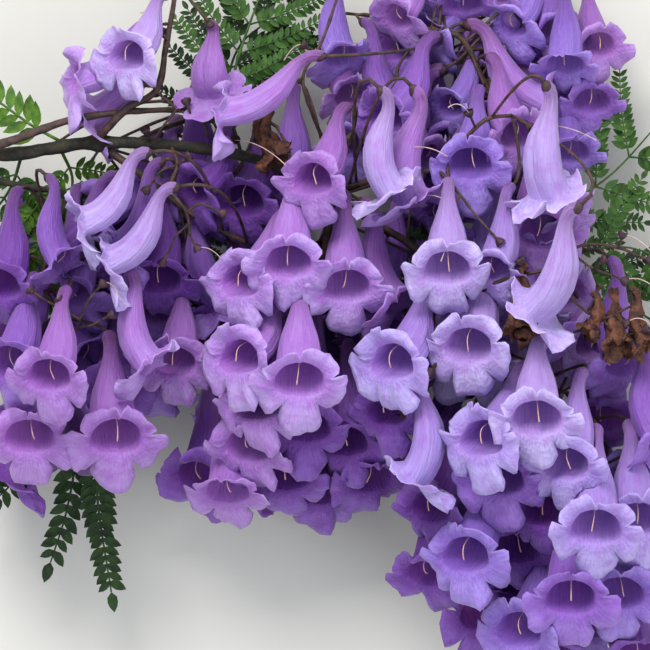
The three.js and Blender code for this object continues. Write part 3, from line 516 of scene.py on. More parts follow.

# %% The listed flowers
FLOWERS = {
    # the mouth's place, which way it faces, how far it looks up, size, what carries it, tint
    "top_1": (126, 60, 24, -140, 48, 0.86, "bough_top", "silver_painted_light"),
    "top_2": (76, 84, 12, -162, 12, 0.92, "bough_top", "light"),
    "top_3": (98, 116, -4, -146, -6, 0.98, "bough_top", "light"),
    "top_4": (210, 96, 10, -72, -28, 0.8, "bough_top", "warm"),
    "top_5": (226, 118, 22, -164, -4, 1, "bough_back", "light"),
    "left_1": (86, 228, 30, -150, 4, 0.88, "panicle_lower", "silver_painted_light"),
    "left_2": (128, 256, 6, -132, -4, 0.86, "panicle_lower", "mid"),
    "left_3": (118, 262, 26, -148, -8, 0.9, "panicle_lower", "silver_painted_light"),
    "left_4": (152, 282, 2, -96, 34, 0.95, "panicle_lower", "deep_painted_shade"),
    "left_5": (56, 262, 14, -64, 12, 0.78, "panicle_left", "mid"),
    "left_6": (4, 292, 24, -112, 36, 0.95, "panicle_left", "deep_painted_shade"),
    "left_7": (10, 362, 34, -118, 44, 0.95, "panicle_left", "mid"),
    "left_8": (46, 382, 44, -110, 46, 0.92, "panicle_left", "warm"),
    "left_9": (30, 440, 26, -92, 46, 1, "panicle_left", "warm"),
    "left_10": (120, 440, 26, -80, 44, 1.05, "panicle_left", "warm"),
    "left_11": (72, 462, 4, -92, 4, 0.8, "panicle_left", "wilted"),
    "left_12": (140, 366, 22, -58, 6, 0.9, "panicle_left", "light"),
    "left_13": (170, 366, 10, -104, 48, 0.88, "panicle_lower", "warm"),
    "mid_1": (240, 278, 28, -144, 46, 0.95, "panicle_mid", "light"),
    "mid_2": (291, 274, 36, -96, 48, 0.95, "panicle_mid", "light"),
    "mid_3": (342, 292, 30, -86, 44, 0.95, "panicle_mid", "light"),
    "mid_4": (312, 184, 34, -132, 46, 0.9, "branch_main", "warm"),
    "mid_5": (390, 196, 34, -68, -4, 0.9, "bough_far_right", "silver_painted_light"),
    "mid_6": (414, 200, 16, -74, 2, 1.02, "bough_far_right", "light"),
    "mid_7": (398, 306, 16, -54, 8, 0.98, "panicle_mid", "warm"),
    "mid_8": (302, 384, 44, -90, 46, 1.02, "panicle_mid", "light"),
    "mid_9": (390, 366, 40, -138, 46, 1.02, "panicle_mid", "cool"),
    "mid_10": (238, 362, 32, -146, 48, 0.98, "panicle_mid", "light"),
    "mid_11": (256, 406, 22, -126, 50, 1, "panicle_mid", "warm"),
    "mid_12": (304, 432, 16, -88, 38, 1, "panicle_mid", "deep_painted_shade"),
    "mid_13": (252, 458, 6, -110, 34, 1, "panicle_mid", "warm"),
    "mid_14": (398, 418, 24, -122, 40, 0.92, "panicle_mid", "deep_painted_shade"),
    "mid_15": (346, 446, 8, -96, 38, 0.98, "panicle_mid", "deep_painted_shade"),
    "mid_16": (290, 478, -6, -92, 34, 1, "panicle_mid", "deep_painted_shade"),
    "mid_17": (200, 482, -8, -112, 28, 1, "panicle_mid", "deep_painted_shade"),
    "mid_18": (224, 490, 0, -96, 26, 0.9, "panicle_mid", "warm"),
    "mid_19": (322, 500, -14, -84, 26, 1, "panicle_mid", "deep_painted_shade"),
    "mid_20": (362, 484, -8, -80, 26, 0.95, "panicle_mid", "deep_painted_shade"),
    "right_1": (446, 272, 42, -92, 50, 0.95, "bough_far_right", "silver_painted_light"),
    "right_2": (488, 276, 28, -116, 34, 0.85, "bough_far_right", "cool"),
    "right_3": (470, 344, 44, -118, 52, 1, "bough_right", "silver_painted_light"),
    "right_4": (556, 350, 20, -52, 10, 0.95, "panicle_right", "mid"),
    "right_5": (536, 310, 42, -128, -22, 1, "bough_far_right", "silver_painted_light"),
    "right_6": (402, 476, 24, -114, -8, 0.95, "bough_right", "cool"),
    "right_7": (484, 440, 48, -144, 50, 1.02, "bough_right", "cool"),
    "right_8": (533, 426, 48, -92, 52, 1, "bough_right", "silver_painted_light"),
    "right_9": (500, 478, 36, -104, 48, 1, "panicle_right", "mid"),
    "right_10": (566, 474, 42, -112, 44, 0.98, "panicle_right", "cool"),
    "right_11": (592, 530, 48, -92, 46, 1.02, "panicle_right", "cool"),
    "right_12": (466, 560, 26, -124, 50, 1.02, "panicle_right", "blue"),
    "right_13": (546, 516, 26, -108, 42, 0.95, "panicle_right", "deep_painted_shade"),
    "right_14": (570, 602, 34, -92, 46, 1.02, "panicle_right", "mid"),
    "right_15": (617, 594, 28, -88, 46, 0.98, "panicle_right", "blue"),
    "right_16": (640, 522, 38, -82, 46, 1, "panicle_right", "cool"),
    "right_17": (512, 628, 18, -128, 46, 1.02, "panicle_right", "blue"),
    "right_18": (632, 366, 16, -70, 22, 0.98, "panicle_right", "mid"),
    "right_19": (648, 446, 22, -58, 20, 0.98, "panicle_right", "mid"),
    "right_20": (541, 196, 30, -76, -14, 0.95, "bough_far_right", "silver_painted_light"),
    "right_21": (430, 518, 6, -124, 36, 0.95, "panicle_right", "deep_painted_shade"),
    "right_22": (522, 562, 8, -92, 38, 0.95, "panicle_right", "deep_painted_shade"),
    "right_23": (430, 574, -2, -108, 24, 0.95, "panicle_right", "deep_painted_shade"),
    "right_24": (676, 560, 20, -60, 36, 1, "panicle_right", "mid"),
    "right_25": (560, 664, 8, -100, 34, 1, "panicle_right", "deep_painted_shade"),
    "right_26": (634, 664, 6, -76, 34, 1, "panicle_right", "deep_painted_shade"),
    "right_27": (690, 480, 0, -46, 22, 1, "panicle_right", "mid"),
}

# %% [markdown]
# ## Placing the flowers
# A flower's own frame has x out of the mouth, y towards its two upper petals and z to its side.
# Behind the listed flowers, a rule hangs more round each stem, a golden angle apart.
# Then all are pushed apart: each flower is a row of balls, and balls that overlap push their
# flowers away, as real ones crowd each other. These are the solids' own rules and numbers.

# %% A flower's frame
CALYX_END = np.array([-40.5, 12.6, 0])
NECK = np.array([-36, 14, 0])
GOLDEN_ANGLE = 137.5
HUNG_TINTS = {"panicle_back": ("light", "mid", "blue", "warm")}


def axes_of(flower):
    """A flower's three axes as rows, scaled by its size and its form."""
    yaw, pitch = math.radians(flower["turn"]), math.radians(flower["nod"])
    out = np.array([math.cos(pitch) * math.cos(yaw), math.cos(pitch) * math.sin(yaw), math.sin(pitch)])
    up = unit(np.array([0, 1, 0]) - out * out[1])
    form = np.reshape(flower.get("form", (1, 1, 1)), (3, 1))
    return np.array([out, up, np.cross(out, up)]) * flower["size"] * form


def in_flower(flower, points):
    """Points of a flower's own frame, in the picture's millimetres."""
    return np.asarray(points) @ axes_of(flower) + flower["mouth"]


def wobble(i, seed):
    """A repeatable fraction for the i-th thing of a seed."""
    s = math.sin(i * 12.9898 + seed * 78.233) * 43758.5453
    return s - math.floor(s)


def hung_round(name, count, spread, faces, seed):
    """Flowers that a rule hangs round a stem."""
    found = []
    tints = HUNG_TINTS.get(name, ("deep_painted_shade", "mid"))
    for i in range(count):
        share, turned = (i + 0.6) / count, i * GOLDEN_ANGLE
        angle = math.radians(turned if faces == "round" else 180 + turned % 180)
        outward = unit(np.array([math.cos(angle), -0.25, math.sin(angle)]))
        fall = -0.5 - 0.5 * share - 0.3 * wobble(i, seed)
        flower = {
            "name": f"{name}_{i}", "turn": math.degrees(math.atan2(fall, outward[0])),
            "nod": math.degrees(math.asin(outward[2])) * 0.8, "size": 0.88 + 0.14 * wobble(i, seed + 1),
            "on": name, "mouth": np.zeros(3), "tint": tints[i % len(tints)],
        }
        base = courses[name].at(share)[0] + outward * (spread + 8 * wobble(i, seed + 2))
        flower["mouth"] = base - in_flower(flower, CALYX_END)
        found.append(flower)
    return found


flowers = []
for name, (u, v, depth, turn, nod, size, on, tint) in FLOWERS.items():
    flowers.append({"name": name, "mouth": spot((u, v, depth)), "turn": turn, "nod": nod,
                    "size": size, "on": on, "tint": tint})
for seed, (name, (*_, count, spread, faces)) in enumerate(STEMS.items(), start=1):
    flowers += hung_round(name, count, spread, faces, seed)
for flower in flowers:
    flower["single"] = "bloom_" + flower["name"] in frame["nodes"]
print(len(flowers), "flowers,", sum(f["single"] for f in flowers), "of them on their own")

# %% Push them apart
BALLS = np.array([
    # x, y, z and radius of the balls in the tube
    [-37, 14, 0, 3], [-30, 11, 0, 3.6], [-23, 6.6, 0, 5], [-15, 2.8, 0, 6.2], [-7, 0.6, 0, 7], [0, 0, 0, 8],
])
PETAL_REACH = np.array([13.5, 15.5, 17, 15.5, 13.5])
PETAL_FORWARD = np.array([-1, 3, 7, 3, -1])
PETAL_BALL_OUT, PETAL_BALL = 0.76, 3.4
ROUNDS, BALL_GAP, STEP, PULL, SWAY = 200, 0.5, 0.35, 0.012, np.array([0.7, 0.7, 1.3])
FLOWER_SPAN, LIMB_BALL_EVERY = 80, 3
FORMS = {"top_4": (0.72, 1.08, 1.1), "top_5": (1.04, 0.86, 0.86)}  # one is short and full, one slender

petal_angles = np.radians(36 + 72 * np.arange(5))
petal_out = PETAL_REACH * PETAL_BALL_OUT
petal_balls = [PETAL_FORWARD, petal_out * np.cos(petal_angles), petal_out * np.sin(petal_angles),
               np.full(5, PETAL_BALL)]
own_balls = np.vstack([BALLS, np.stack(petal_balls, axis=1)])
limb_balls, limb_ball_radii = [], []
for name, course in courses.items():
    count = round(course.length / LIMB_BALL_EVERY)
    shares = np.arange(count + 1) / count
    limb_balls.append(course.at(shares))
    limb_ball_radii.append(radii[name][0] + (radii[name][1] - radii[name][0]) * shares)
limb_balls, limb_ball_radii = np.vstack(limb_balls), np.concatenate(limb_ball_radii)


def balls_of(some):
    """Some flowers' balls: their places round each mouth, their radii, and the mouths."""
    turned = np.array([own_balls[:, :3] @ axes_of(f) for f in some])
    ball_sizes = np.array([own_balls[:, 3] * f["size"] for f in some])
    return turned, ball_sizes, np.array([f["mouth"] for f in some])


def overlap_push(apart, reach):
    """How far balls that lie closer than their reach push away, as vectors."""
    distance = np.linalg.norm(apart, axis=-1)
    short = np.maximum(reach + BALL_GAP - distance, 0)
    return apart * (short / np.maximum(distance, 1e-9))[..., None]


def push_apart(turned, own_radii, home, fixed, fixed_radii, rounds):
    """Where mouths end up when their flowers' balls push each other and the fixed balls away."""
    mouths = home.copy()
    for _ in range(rounds):
        near = np.linalg.norm(mouths[:, None] - mouths[None], axis=-1) < FLOWER_SPAN
        np.fill_diagonal(near, False)
        first, second = np.nonzero(near)
        centres = turned + mouths[:, None]
        apart = centres[first][:, :, None] - centres[second][:, None]
        reach = own_radii[first][:, :, None] + own_radii[second][:, None]
        moves = np.zeros_like(mouths)
        np.add.at(moves, first, overlap_push(apart, reach).sum(axis=(1, 2)) * STEP / 2)
        apart = centres[:, :, None] - fixed
        moves += overlap_push(apart, own_radii[:, :, None] + fixed_radii).sum(axis=(1, 2)) * STEP
        moves *= SWAY
        moves /= np.maximum(np.linalg.norm(moves, axis=1), 1)[:, None]
        mouths += moves
        mouths += (home - mouths) * PULL
    return mouths


turned_balls, ball_radii, home = balls_of(flowers)
mouths = push_apart(turned_balls, ball_radii, home, limb_balls, limb_ball_radii, ROUNDS)
for flower, mouth in zip(flowers, mouths):
    flower["mouth"] = mouth
    flower["form"] = FORMS.get(flower["name"], (1, 1, 1))
print("pushed by up to", round(float(np.linalg.norm(mouths - home, axis=1).max()), 1), "mm")

# %% [markdown]
# The real clusters are fuller than their solids, whose faces are few. More flowers fill them from
# behind, spread like the seeds of a sunflower over the stretch of the picture where each cluster
# is. Only these are pushed now, so that every flower with a solid stays on it.

# %% Flowers that fill the clusters
FILL = {
    # how many, the middle in the picture, half the width and height, the least size, the tints
    "panicle_back": [(29, (474, 92, -20), (140, 112), 0.68, ("mid", "blue", "warm"))],
    "panicle_lower": [(7, (150, 240, -14), (58, 62), 0.84, ("mid", "deep_painted_shade"))],
    "panicle_left": [(9, (62, 350, -16), (78, 90), 0.86, ("mid", "deep_painted_shade"))],
    "panicle_mid": [(13, (300, 380, -24), (100, 105), 0.86, ("deep_painted_shade", "mid"))],
    "panicle_right": [(15, (560, 520, -14), (112, 120), 0.86, ("deep_painted_shade", "blue")),
                      (11, (520, 326, 2), (76, 74), 0.8, ("silver_painted_light", "cool", "light"))],
    "bough_right": [(5, (420, 300, -14), (34, 90), 0.84, ("mid", "deep_painted_shade"))],
    "branch_main": [(6, (232, 204, -16), (42, 32), 0.8, ("deep_painted_shade", "mid"))],
}
FILL_ROUNDS, FILL_SHRINK, FILL_HEIGHTS, FILL_DETAIL = 50, 0.85, (-36, 6), (40, 16)
fill = []
for seed, (name, discs) in enumerate(FILL.items()):
    for count, (u, v, depth), (wide, high), least, tints in discs:
        for i in range(count):
            out, angle = math.sqrt((i + 0.5) / count), math.radians(i * GOLDEN_ANGLE)
            place = (u + wide * out * math.cos(angle), v + high * out * math.sin(angle), depth)
            fill.append({
                "name": f"fill_{name}_{i}", "mouth": spot(place) + [0, 0, 12 * wobble(i, seed) - 6],
                "turn": -96 + 100 * (wobble(i, seed + 7) - 0.5), "nod": 18 + 34 * wobble(i, seed + 3),
                "size": least + 0.15 * wobble(i, seed + 5), "on": name, "tint": tints[i % len(tints)],
                "single": False, "detail": FILL_DETAIL,
            })
fill_turned, fill_radii, fill_home = balls_of(fill)
fixed = np.vstack([(turned_balls + mouths[:, None]).reshape(-1, 3), limb_balls])
fixed_radii = np.concatenate([ball_radii.ravel(), limb_ball_radii]) * FILL_SHRINK
fill_mouths = push_apart(fill_turned, fill_radii * FILL_SHRINK, fill_home, fixed, fixed_radii, FILL_ROUNDS)
fill_mouths[:, 2] = np.clip(fill_mouths[:, 2], *FILL_HEIGHTS)
for flower, mouth in zip(fill, fill_mouths):
    flower["mouth"] = mouth
flowers += fill
all_radii = np.vstack([ball_radii, fill_radii]).ravel()
print(len(flowers), "flowers in all")

# %% [markdown]
# ## Rolling a sheet
# Petals, twigs, limbs and calyces are all sheets rolled into tubes. The grid operator makes a flat
# sheet one unit each way, with its UV map. A function then says where each point goes, from how far
# round and how far along the sheet it is, and the seam is merged. The UV map stays, so a material
# can always tell how far along a petal it is.

# %% Sheets, rolled up


def flat_sheet(around, along):
    """A flat sheet of quads as a mesh, with the place of its points round and along it."""
    bm = bmesh.new()
    bm.loops.layers.uv.new("UVMap")
    bmesh.ops.create_grid(bm, x_segments=around, y_segments=along, size=0.5, calc_uvs=True)
    mesh = bpy.data.meshes.new("sheet")
    bm.to_mesh(mesh)
    bm.free()
    flat = np.zeros(len(mesh.vertices) * 3)
    mesh.vertices.foreach_get("co", flat)
    flat = flat.reshape(-1, 3) + 0.5
    return mesh, flat[:, 0], flat[:, 1]


sheets = {}


def rolled(around, along, place, slot=0, wall=0, wall_slot=None):
    """A sheet whose points go where place(round, along) says. A wall gives it thickness inwards."""
    if (around, along) not in sheets:
        sheets[around, along] = flat_sheet(around, along)
    mesh, across, length = sheets[around, along]
    bm = bmesh.new()
    bm.from_mesh(mesh)
    for vert, point in zip(bm.verts, place(across, length)):
        vert.co = point
    bmesh.ops.remove_doubles(bm, verts=bm.verts, dist=1e-4)
    outer = list(bm.faces)
    for face in outer:
        face.material_index, face.smooth = slot, True
    if wall:
        bmesh.ops.solidify(bm, geom=outer, thickness=wall)
        kept = set(outer)
        for face in bm.faces:
            if face not in kept:
                face.material_index, face.smooth = wall_slot, True
    return bm


FLOOR_CUSHION = 0.003


def lay_on_floor(mesh):
    """What would reach through the floor bends and lies along it, closer the deeper it was."""
    points = np.zeros(len(mesh.vertices) * 3)
    mesh.vertices.foreach_get("co", points)
    heights = points[2::3]
    low = heights < FLOOR_CUSHION
    heights[low] = FLOOR_CUSHION * np.exp(heights[low] / FLOOR_CUSHION - 1)
    mesh.vertices.foreach_set("co", points)


def gathered(name, parts, finishes):
    """One piece made of several rolled parts, set into the frame and riding on the branch."""
    whole = bmesh.new()
    for part in parts:
        passing = bpy.data.meshes.new("part")
        part.to_mesh(passing)
        part.free()
        whole.from_mesh(passing)
        bpy.data.meshes.remove(passing)
    bmesh.ops.transform(whole, matrix=INTO_FRAME, verts=whole.verts)
    mesh = bpy.data.meshes.new(name)
    whole.to_mesh(mesh)
    whole.free()
    lay_on_floor(mesh)
    for finish in finishes:
        mesh.materials.append(finish)
    piece = bpy.data.objects.new(name, mesh)
    bpy.context.collection.objects.link(piece)
    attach(piece, "root")
    return piece


def frames_along(course, shares):
    """Centres along a course with two directions square to it that don't twist."""
    centres, ways = course.at(shares), course.way(shares)
    side = np.cross(ways[0], (0.3, 0.2, 1.0))
    sides = []
    for way in ways:
        side = side - way * side.dot(way)
        side /= np.linalg.norm(side)
        sides.append(side)
    sides = np.array(sides)
    return centres, sides, np.cross(ways, sides)


def rod(course, radius_of, sides, rows, slot=0, relief=None):
    """A closed rod along a course. radius_of gives its radius, relief a factor for its surface."""

    def place(across, length):
        row = np.rint(length * rows).astype(int)
        shares = np.clip((np.arange(rows + 1) - 1) / (rows - 2), 0, 1)
        centres, right, front = frames_along(course, shares)
        radius = np.where((row == 0) | (row == rows), 0.0, radius_of(shares)[row])
        if relief:
            radius = radius * relief(across, shares[row], centres[row])
        angle = 2 * np.pi * across
        outward = right[row] * np.cos(angle)[:, None] + front[row] * np.sin(angle)[:, None]
        return centres[row] + outward * radius[:, None]

    return rolled(sides, rows, place, slot)


def tapered(ends):
    """A radius that narrows evenly from one end to the other."""
    return lambda shares: ends[0] + (ends[1] - ends[0]) * shares


print("sheets can be rolled")

# %% [markdown]
# ## The flower
# The trumpet starts in a narrow neck that bends over, swells into a belly wider than it is high
# and opens in a slanting mouth, whose floor rises a little. Five lobes spread from it: two short
# ones curl up and back, two reach sideways, and the lowest hangs forward as a lip. The whole
# corolla is one sheet. Its first part is the tube, and the rest bends outwards in a curve to the
# outline of each lobe. Small waves along the edge make the ruffles, and no two flowers have the
# same ones.

# %% The corolla's form
TUBE_STATIONS = np.array([
    # x, y, half the width, half the height
    [-40.0, 12.5, 1.6, 1.6],
    [-38.2, 13.7, 2.7, 2.6],
    [-34.8, 14.3, 2.6, 2.5],
    [-30.6, 12.6, 2.8, 2.8],
    [-26.0, 8.9, 4.3, 4.0],
    [-20.5, 4.4, 6.8, 5.7],
    [-14.0, 1.2, 8.1, 6.6],
    [-7.0, -0.1, 8.5, 6.9],
    [-1.6, 0.0, 9.0, 7.2],
])
TUBE_SHARE = 0.54
NOTCH_REACH = np.array([13.2, 12.3, 10.9, 10.9, 12.3])
NOTCH_FORWARD = 1.6
LOBE_WIDTH = np.array([8.3, 10.0, 8.5, 10.0, 8.3])
LOBE_REACH = np.array([14.2, 17.2, 18.4, 17.2, 14.2])
LOBE_FORWARD = np.array([-1.6, 2.2, 6.4, 2.2, -1.6])
LOBE_TWIST, HOOD_BACK, LIP_RISE = 1.3, 2.8, 0.42
CREASE, PLEAT = 0.55, 0.11
RUFFLES = [(0.9, 1.7, 1), (0.4, 3.6, 2), (0.14, 6.1, 3)]  # height, waves, which phase
MIDRIB, CURL, MARGIN_BACK, TIP_BACK, CRINKLE = 0.7, 1.3, 1.5, 1.1, 0.22
FLARE = np.array([1.8, 3.0, 3.8, 3.0, 1.8])
DETAIL = (60, 24)
PETAL_WALL = 0.14


def past(start, value):
    """Nought up to the start, then rising evenly to one at one."""
    return np.clip((value - start) / (1 - start), 0, 1)


def tube_ring(share, theta):
    """The tube's points at a share of its length, theta round from the top."""
    x, y, wide, high = spline_points(TUBE_STATIONS, share).T
    before, after = np.maximum(share - 0.01, 0), np.minimum(share + 0.01, 1)
    ahead = spline_points(TUBE_STATIONS, after) - spline_points(TUBE_STATIONS, before)
    lean = np.hypot(ahead[:, 0], ahead[:, 1])
    lean_x, lean_y = -ahead[:, 1] / lean, ahead[:, 0] / lean
    crease = CREASE * np.exp(-(((np.degrees(theta) - 180) / 13) ** 2)) * np.clip(share * 2 - 0.4, 0, 1)
    pleat = PLEAT * np.sin(7 * theta + 1 + 2 * share) * np.clip(3 * share - 0.9, 0, 1)
    wide, high = wide + pleat, high + pleat
    lip = 1 - LIP_RISE * past(0.7, share) ** 2 * np.clip(-np.cos(theta), 0, 1)
    upward = (high - crease) * np.cos(theta) * lip
    return np.stack([
        x + upward * lean_x - HOOD_BACK * np.cos(theta) * past(0.55, share) ** 2,
        y + upward * lean_y,
        wide * np.sin(theta),
    ], axis=1)


def corolla(flower, seed):
    """A flower's petals as one walled sheet in its own frame: slot 0 outside, 1 inside."""
    dice = random.Random(seed)

    def five(low, high):
        return np.array([dice.uniform(low, high) for _ in range(5)])

    limp = flower.get("limp", 0)
    reach = LOBE_REACH * five(0.92, 1.05) * (1 - 0.18 * limp)
    forward = LOBE_FORWARD + five(-2.4, 2.4) + 6 * limp
    width = LOBE_WIDTH * five(0.93, 1.05)
    twist = LOBE_TWIST + five(-1.6, 1.6)
    phase = [five(0, 6.3) for _ in range(4)]
    _, belly_phase = dice.uniform(-0.5, 0.5), dice.uniform(0, 6.3)

    def place(across, length):
        theta = 2 * np.pi * across
        share = np.clip(length / TUBE_SHARE, 0, 1)
        points = tube_ring(share, theta)
        points[:, 2] *= 1 + 0.03 * np.sin(3 * theta + belly_phase) * share
        q = past(TUBE_SHARE, length)
        lobe = np.minimum((across * 5).astype(int), 4)
        phi = (across * 5 - lobe) * 2 - 1
        phi = np.sign(phi) * (1 - (1 - np.abs(phi)) ** 1.12)
        turn = phi * np.pi

        def wave(angle, k):
            return np.sin(angle + phase[k][lobe])

        # the outline of the lobes, from notch to notch
        middle = petal_angles[lobe]
        free = 1 - np.abs(phi) ** 8
        crenate = 1 + 0.018 * free * (wave(turn * 4.4, 0) + 0.6 * wave(phi * 7.3, 1))
        cut = NOTCH_REACH[(lobe + (phi > 0)) % 5]
        side = cut * math.cos(math.pi / 5)
        out = side + (reach[lobe] * crenate - side) * np.sqrt(np.clip(1 - np.abs(phi) ** 2.6, 0, 1))
        lateral = np.sin(turn / 2) * width[lobe]
        lateral = np.where(np.abs(phi) > 0.999, np.sign(phi) * cut * math.sin(math.pi / 5), lateral)
        radial = np.stack([np.zeros_like(q), np.cos(middle), np.sin(middle)], axis=1)
        tangent = np.stack([np.zeros_like(q), -np.sin(middle), np.cos(middle)], axis=1)
        end = radial * out[:, None] + tangent * lateral[:, None]
        end[:, 0] = NOTCH_FORWARD + (forward[lobe] - NOTCH_FORWARD) * (1 - phi**2) + twist[lobe] * phi * free
        # the bend from the mouth out to it, then ruffles, midrib, curled edge and fine crinkles
        knee = points * [1, 1.1, 1.1]
        knee[:, 0] += FLARE[lobe]
        spread = bow_points(points, knee, end, q)
        ruffle = sum(height * wave(turn * waves, k) for height, waves, k in RUFFLES) * free
        spread[:, 0] += ruffle * q**1.6
        spread[:, 0] -= MIDRIB * q * np.exp(-((phi / 0.3) ** 2)) * free
        margin = past(0.35, np.abs(phi)) ** 2
        curl = CURL * past(0.7, q) ** 2 * wave(turn * 0.9, 3) * free
        spread[:, 0] -= curl + (MARGIN_BACK * margin * free + TIP_BACK * past(0.6, q) ** 2) * q
        fine = wave(across * 150, 0) * wave(q * 9, 2)
        spread[:, 0] += CRINKLE * fine * q * free
        limb = q > 0
        points[limb] = spread[limb]
        return points

    return rolled(*flower.get("detail", DETAIL), place, 0, PETAL_WALL, 1)


# %% [markdown]
# Where flowers crowd each other, a petal would cut through its neighbour's tube. A real one is
# pressed aside. So its points in or beyond that tube move back, towards their own flower, until
# they lie just outside the tube's wall.

# %% Press petals aside
TUBE_X, TUBE_Y, TUBE_WIDE, TUBE_HIGH = TUBE_STATIONS.T
HEART, NEAR, WALL_AT, PRESS_TO, FAR_SIDE = np.array([-8, 0, 0]), 45, 1.03, 1.09, 2.4


def pressed_aside(shell, flower):
    """Petal points that would lie in another flower's tube are pressed back against its wall."""
    points = np.array([vert.co for vert in shell.verts] + [in_flower(flower, HEART)])
    moved = np.zeros(len(points), bool)
    for other in flowers:
        apart = np.linalg.norm(other["mouth"] - flower["mouth"])
        if not other["single"] or other is flower or apart > NEAR:
            continue
        axes = axes_of(other)
        own = (points - other["mouth"]) @ np.linalg.inv(axes)
        tube = (np.interp(own[:, 0], TUBE_X, column) for column in (TUBE_Y, TUBE_WIDE, TUBE_HIGH))
        middle, wide, high = tube
        off = np.stack([(own[:, 1] - middle) / high, own[:, 2] / wide], axis=1)
        beside = (own[:, 0] > TUBE_X[0]) & (own[:, 0] < TUBE_X[-1])
        if not (beside & (np.linalg.norm(off, axis=1) < WALL_AT)).any():
            continue
        back = unit(off[-1])
        along = off @ back
        across = off - along[:, None] * back
        wall = WALL_AT + (PRESS_TO - WALL_AT) * np.clip((along + PRESS_TO) / (2 * PRESS_TO), 0, 1)
        room = wall**2 - (across**2).sum(axis=1)
        near_wall = np.sqrt(np.maximum(room, 0))
        inside = beside & (room > 0) & (along > -FAR_SIDE) & (along < near_wall)
        inside[-1] = False
        put = across + near_wall[:, None] * back
        put = np.stack([own[:, 0], middle + put[:, 0] * high, put[:, 1] * wide], axis=1)
        pressed = put @ axes + other["mouth"]
        points[inside] = pressed[inside]
        moved |= inside
    for vert, point, was_moved in zip(shell.verts, points, moved):
        if was_moved:
            vert.co = point
    return shell


# %% [markdown]
# The calyx is a little cup with five teeth, and the beard is a pale rod that comes from the roof
# of the throat and hangs down across it. Both are rolled as well, and are the same in each flower.

# %% Calyx and beard
CALYX_PROFILE = np.array([[0.0, 0.0], [0.0, 0.75], [0.7, 1.35], [1.9, 2.15], [3.4, 2.45], [3.5, 2.3]])
CALYX_BACK, TOOTH = 0.9, 0.35
BEARD_SEEDS = 500
BEARD_COURSE = np.array([
    [-12, 4.6, 0], [-7, 4.6, 0], [-3.6, 4.4, 0], [-2.0, 3.0, 0], [-1.6, 1.2, 0], [-1.5, -0.6, 0],
])


def calyx(slot):
    """The cup that holds a flower, in the flower's frame."""
    way = unit(NECK - CALYX_END)
    up = np.array([-way[1], way[0], 0])
    knots = np.array([[a, r, 0] for a, r in CALYX_PROFILE])

    def place(across, length):
        a, r, _ = spline_points(knots, length).T
        theta = 2 * np.pi * across
        a = a + TOOTH * np.cos(5 * theta) * np.clip(length * 3 - 2, 0, 1)
        side = np.stack([np.zeros_like(theta), np.zeros_like(theta), np.sin(theta)], axis=1)
        outward = (up * np.cos(theta)[:, None] + side) * r[:, None]
        return CALYX_END - way * CALYX_BACK + way * a[:, None] + outward

    return rolled(15, 6, place, slot)


def beard(slot, seed):
    """The pale rod that hangs in a flower's throat."""
    dice = random.Random(seed + BEARD_SEEDS)
    lean = dice.uniform(-0.35, 0.35)
    knots = BEARD_COURSE + [[0, 0, lean * k] for k in range(6)]
    knots[-1] += [dice.uniform(-0.6, 0.6), dice.uniform(-0.8, 0.5), 0]
    return rod(spline_course(knots), lambda s: 0.17 + 0.14 * np.clip(s * 4 - 3, 0, 1), 6, 12, slot)


def set_in_place(flower, part):
    """Moves a part from a flower's own frame to its place in the picture."""
    axes = axes_of(flower)
    matrix = Matrix([[*axes[:, k], flower["mouth"][k]] for k in range(3)] + [[0, 0, 0, 1]])
    bmesh.ops.transform(part, matrix=matrix, verts=part.verts)
    return part


def painted(part, slot):
    """All the faces of a part take one slot."""
    for face in part.faces:
        face.material_index = slot
    return part


def flower_parts(flower, seed):
    """A flower's corolla, calyx and beard, in place: slots 0 outside, 1 inside, 2 calyx, 3 beard."""
    made = (corolla(flower, seed), calyx(2), beard(3, seed))
    shell, cup, hair = (set_in_place(flower, part) for part in made)
    return [pressed_aside(shell, flower), cup, hair]


print("a flower has", sum(len(part.faces) for part in flower_parts(flowers[0], 1)), "faces")

# %% [markdown]
# Each flower that has its own solid is one piece, and stands for that solid.

# %% Single flowers
for seed, flower in enumerate(flowers):
    if flower["single"]:
        finishes = [*petal_pairs[flower["tint"]], calyx_finish, beard_finish]
        piece = gathered("flower_" + flower["name"], flower_parts(flower, seed), finishes)
        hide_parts("bloom_" + flower["name"])
print("single flowers:", sum(flower["single"] for flower in flowers))

# %% [markdown]
# The flowers of a cluster are joined into one piece for each stem. The finishes of all tints are
# in it, and each flower's faces take those of its own tint.

# %% Flowers of the clusters
tint_slots = {tint: 2 * i for i, tint in enumerate(TINTS)}
calyx_slot, beard_slot = 2 * len(TINTS), 2 * len(TINTS) + 1
for name in [*STEMS, "bough_right", "branch_main"]:
    parts = []
    for seed, flower in enumerate(flowers):
        if flower["on"] == name and not flower["single"]:
            shell, cup, hair = flower_parts(flower, seed)
            for face in shell.faces:
                face.material_index += tint_slots[flower["tint"]]
            parts += [shell, painted(cup, calyx_slot), painted(hair, beard_slot)]
    finishes = [finish for pair in petal_pairs.values() for finish in pair] + [calyx_finish, beard_finish]
    piece = gathered(name + "_blossom", parts, finishes)
    if name in STEMS:
        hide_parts(name)
    print(piece.name, len(piece.data.polygons), "faces")

# %% [markdown]
# ## Limbs and stalks
# A flower's stalk leaves its stem where the way to the calyx is short and clear, and bends once.
# The same search as in the solids finds that place.

# %% Where each stalk grows
balls = np.vstack([own_balls[:, :3] @ axes_of(f) + f["mouth"] for f in flowers])
NECK_BALLS, STALK_KNEE, STALK_BEND = 3, 0.4, 0.7
STALK_ROOM, HIT_COST, BEND_COST = 1.2, 4, 60


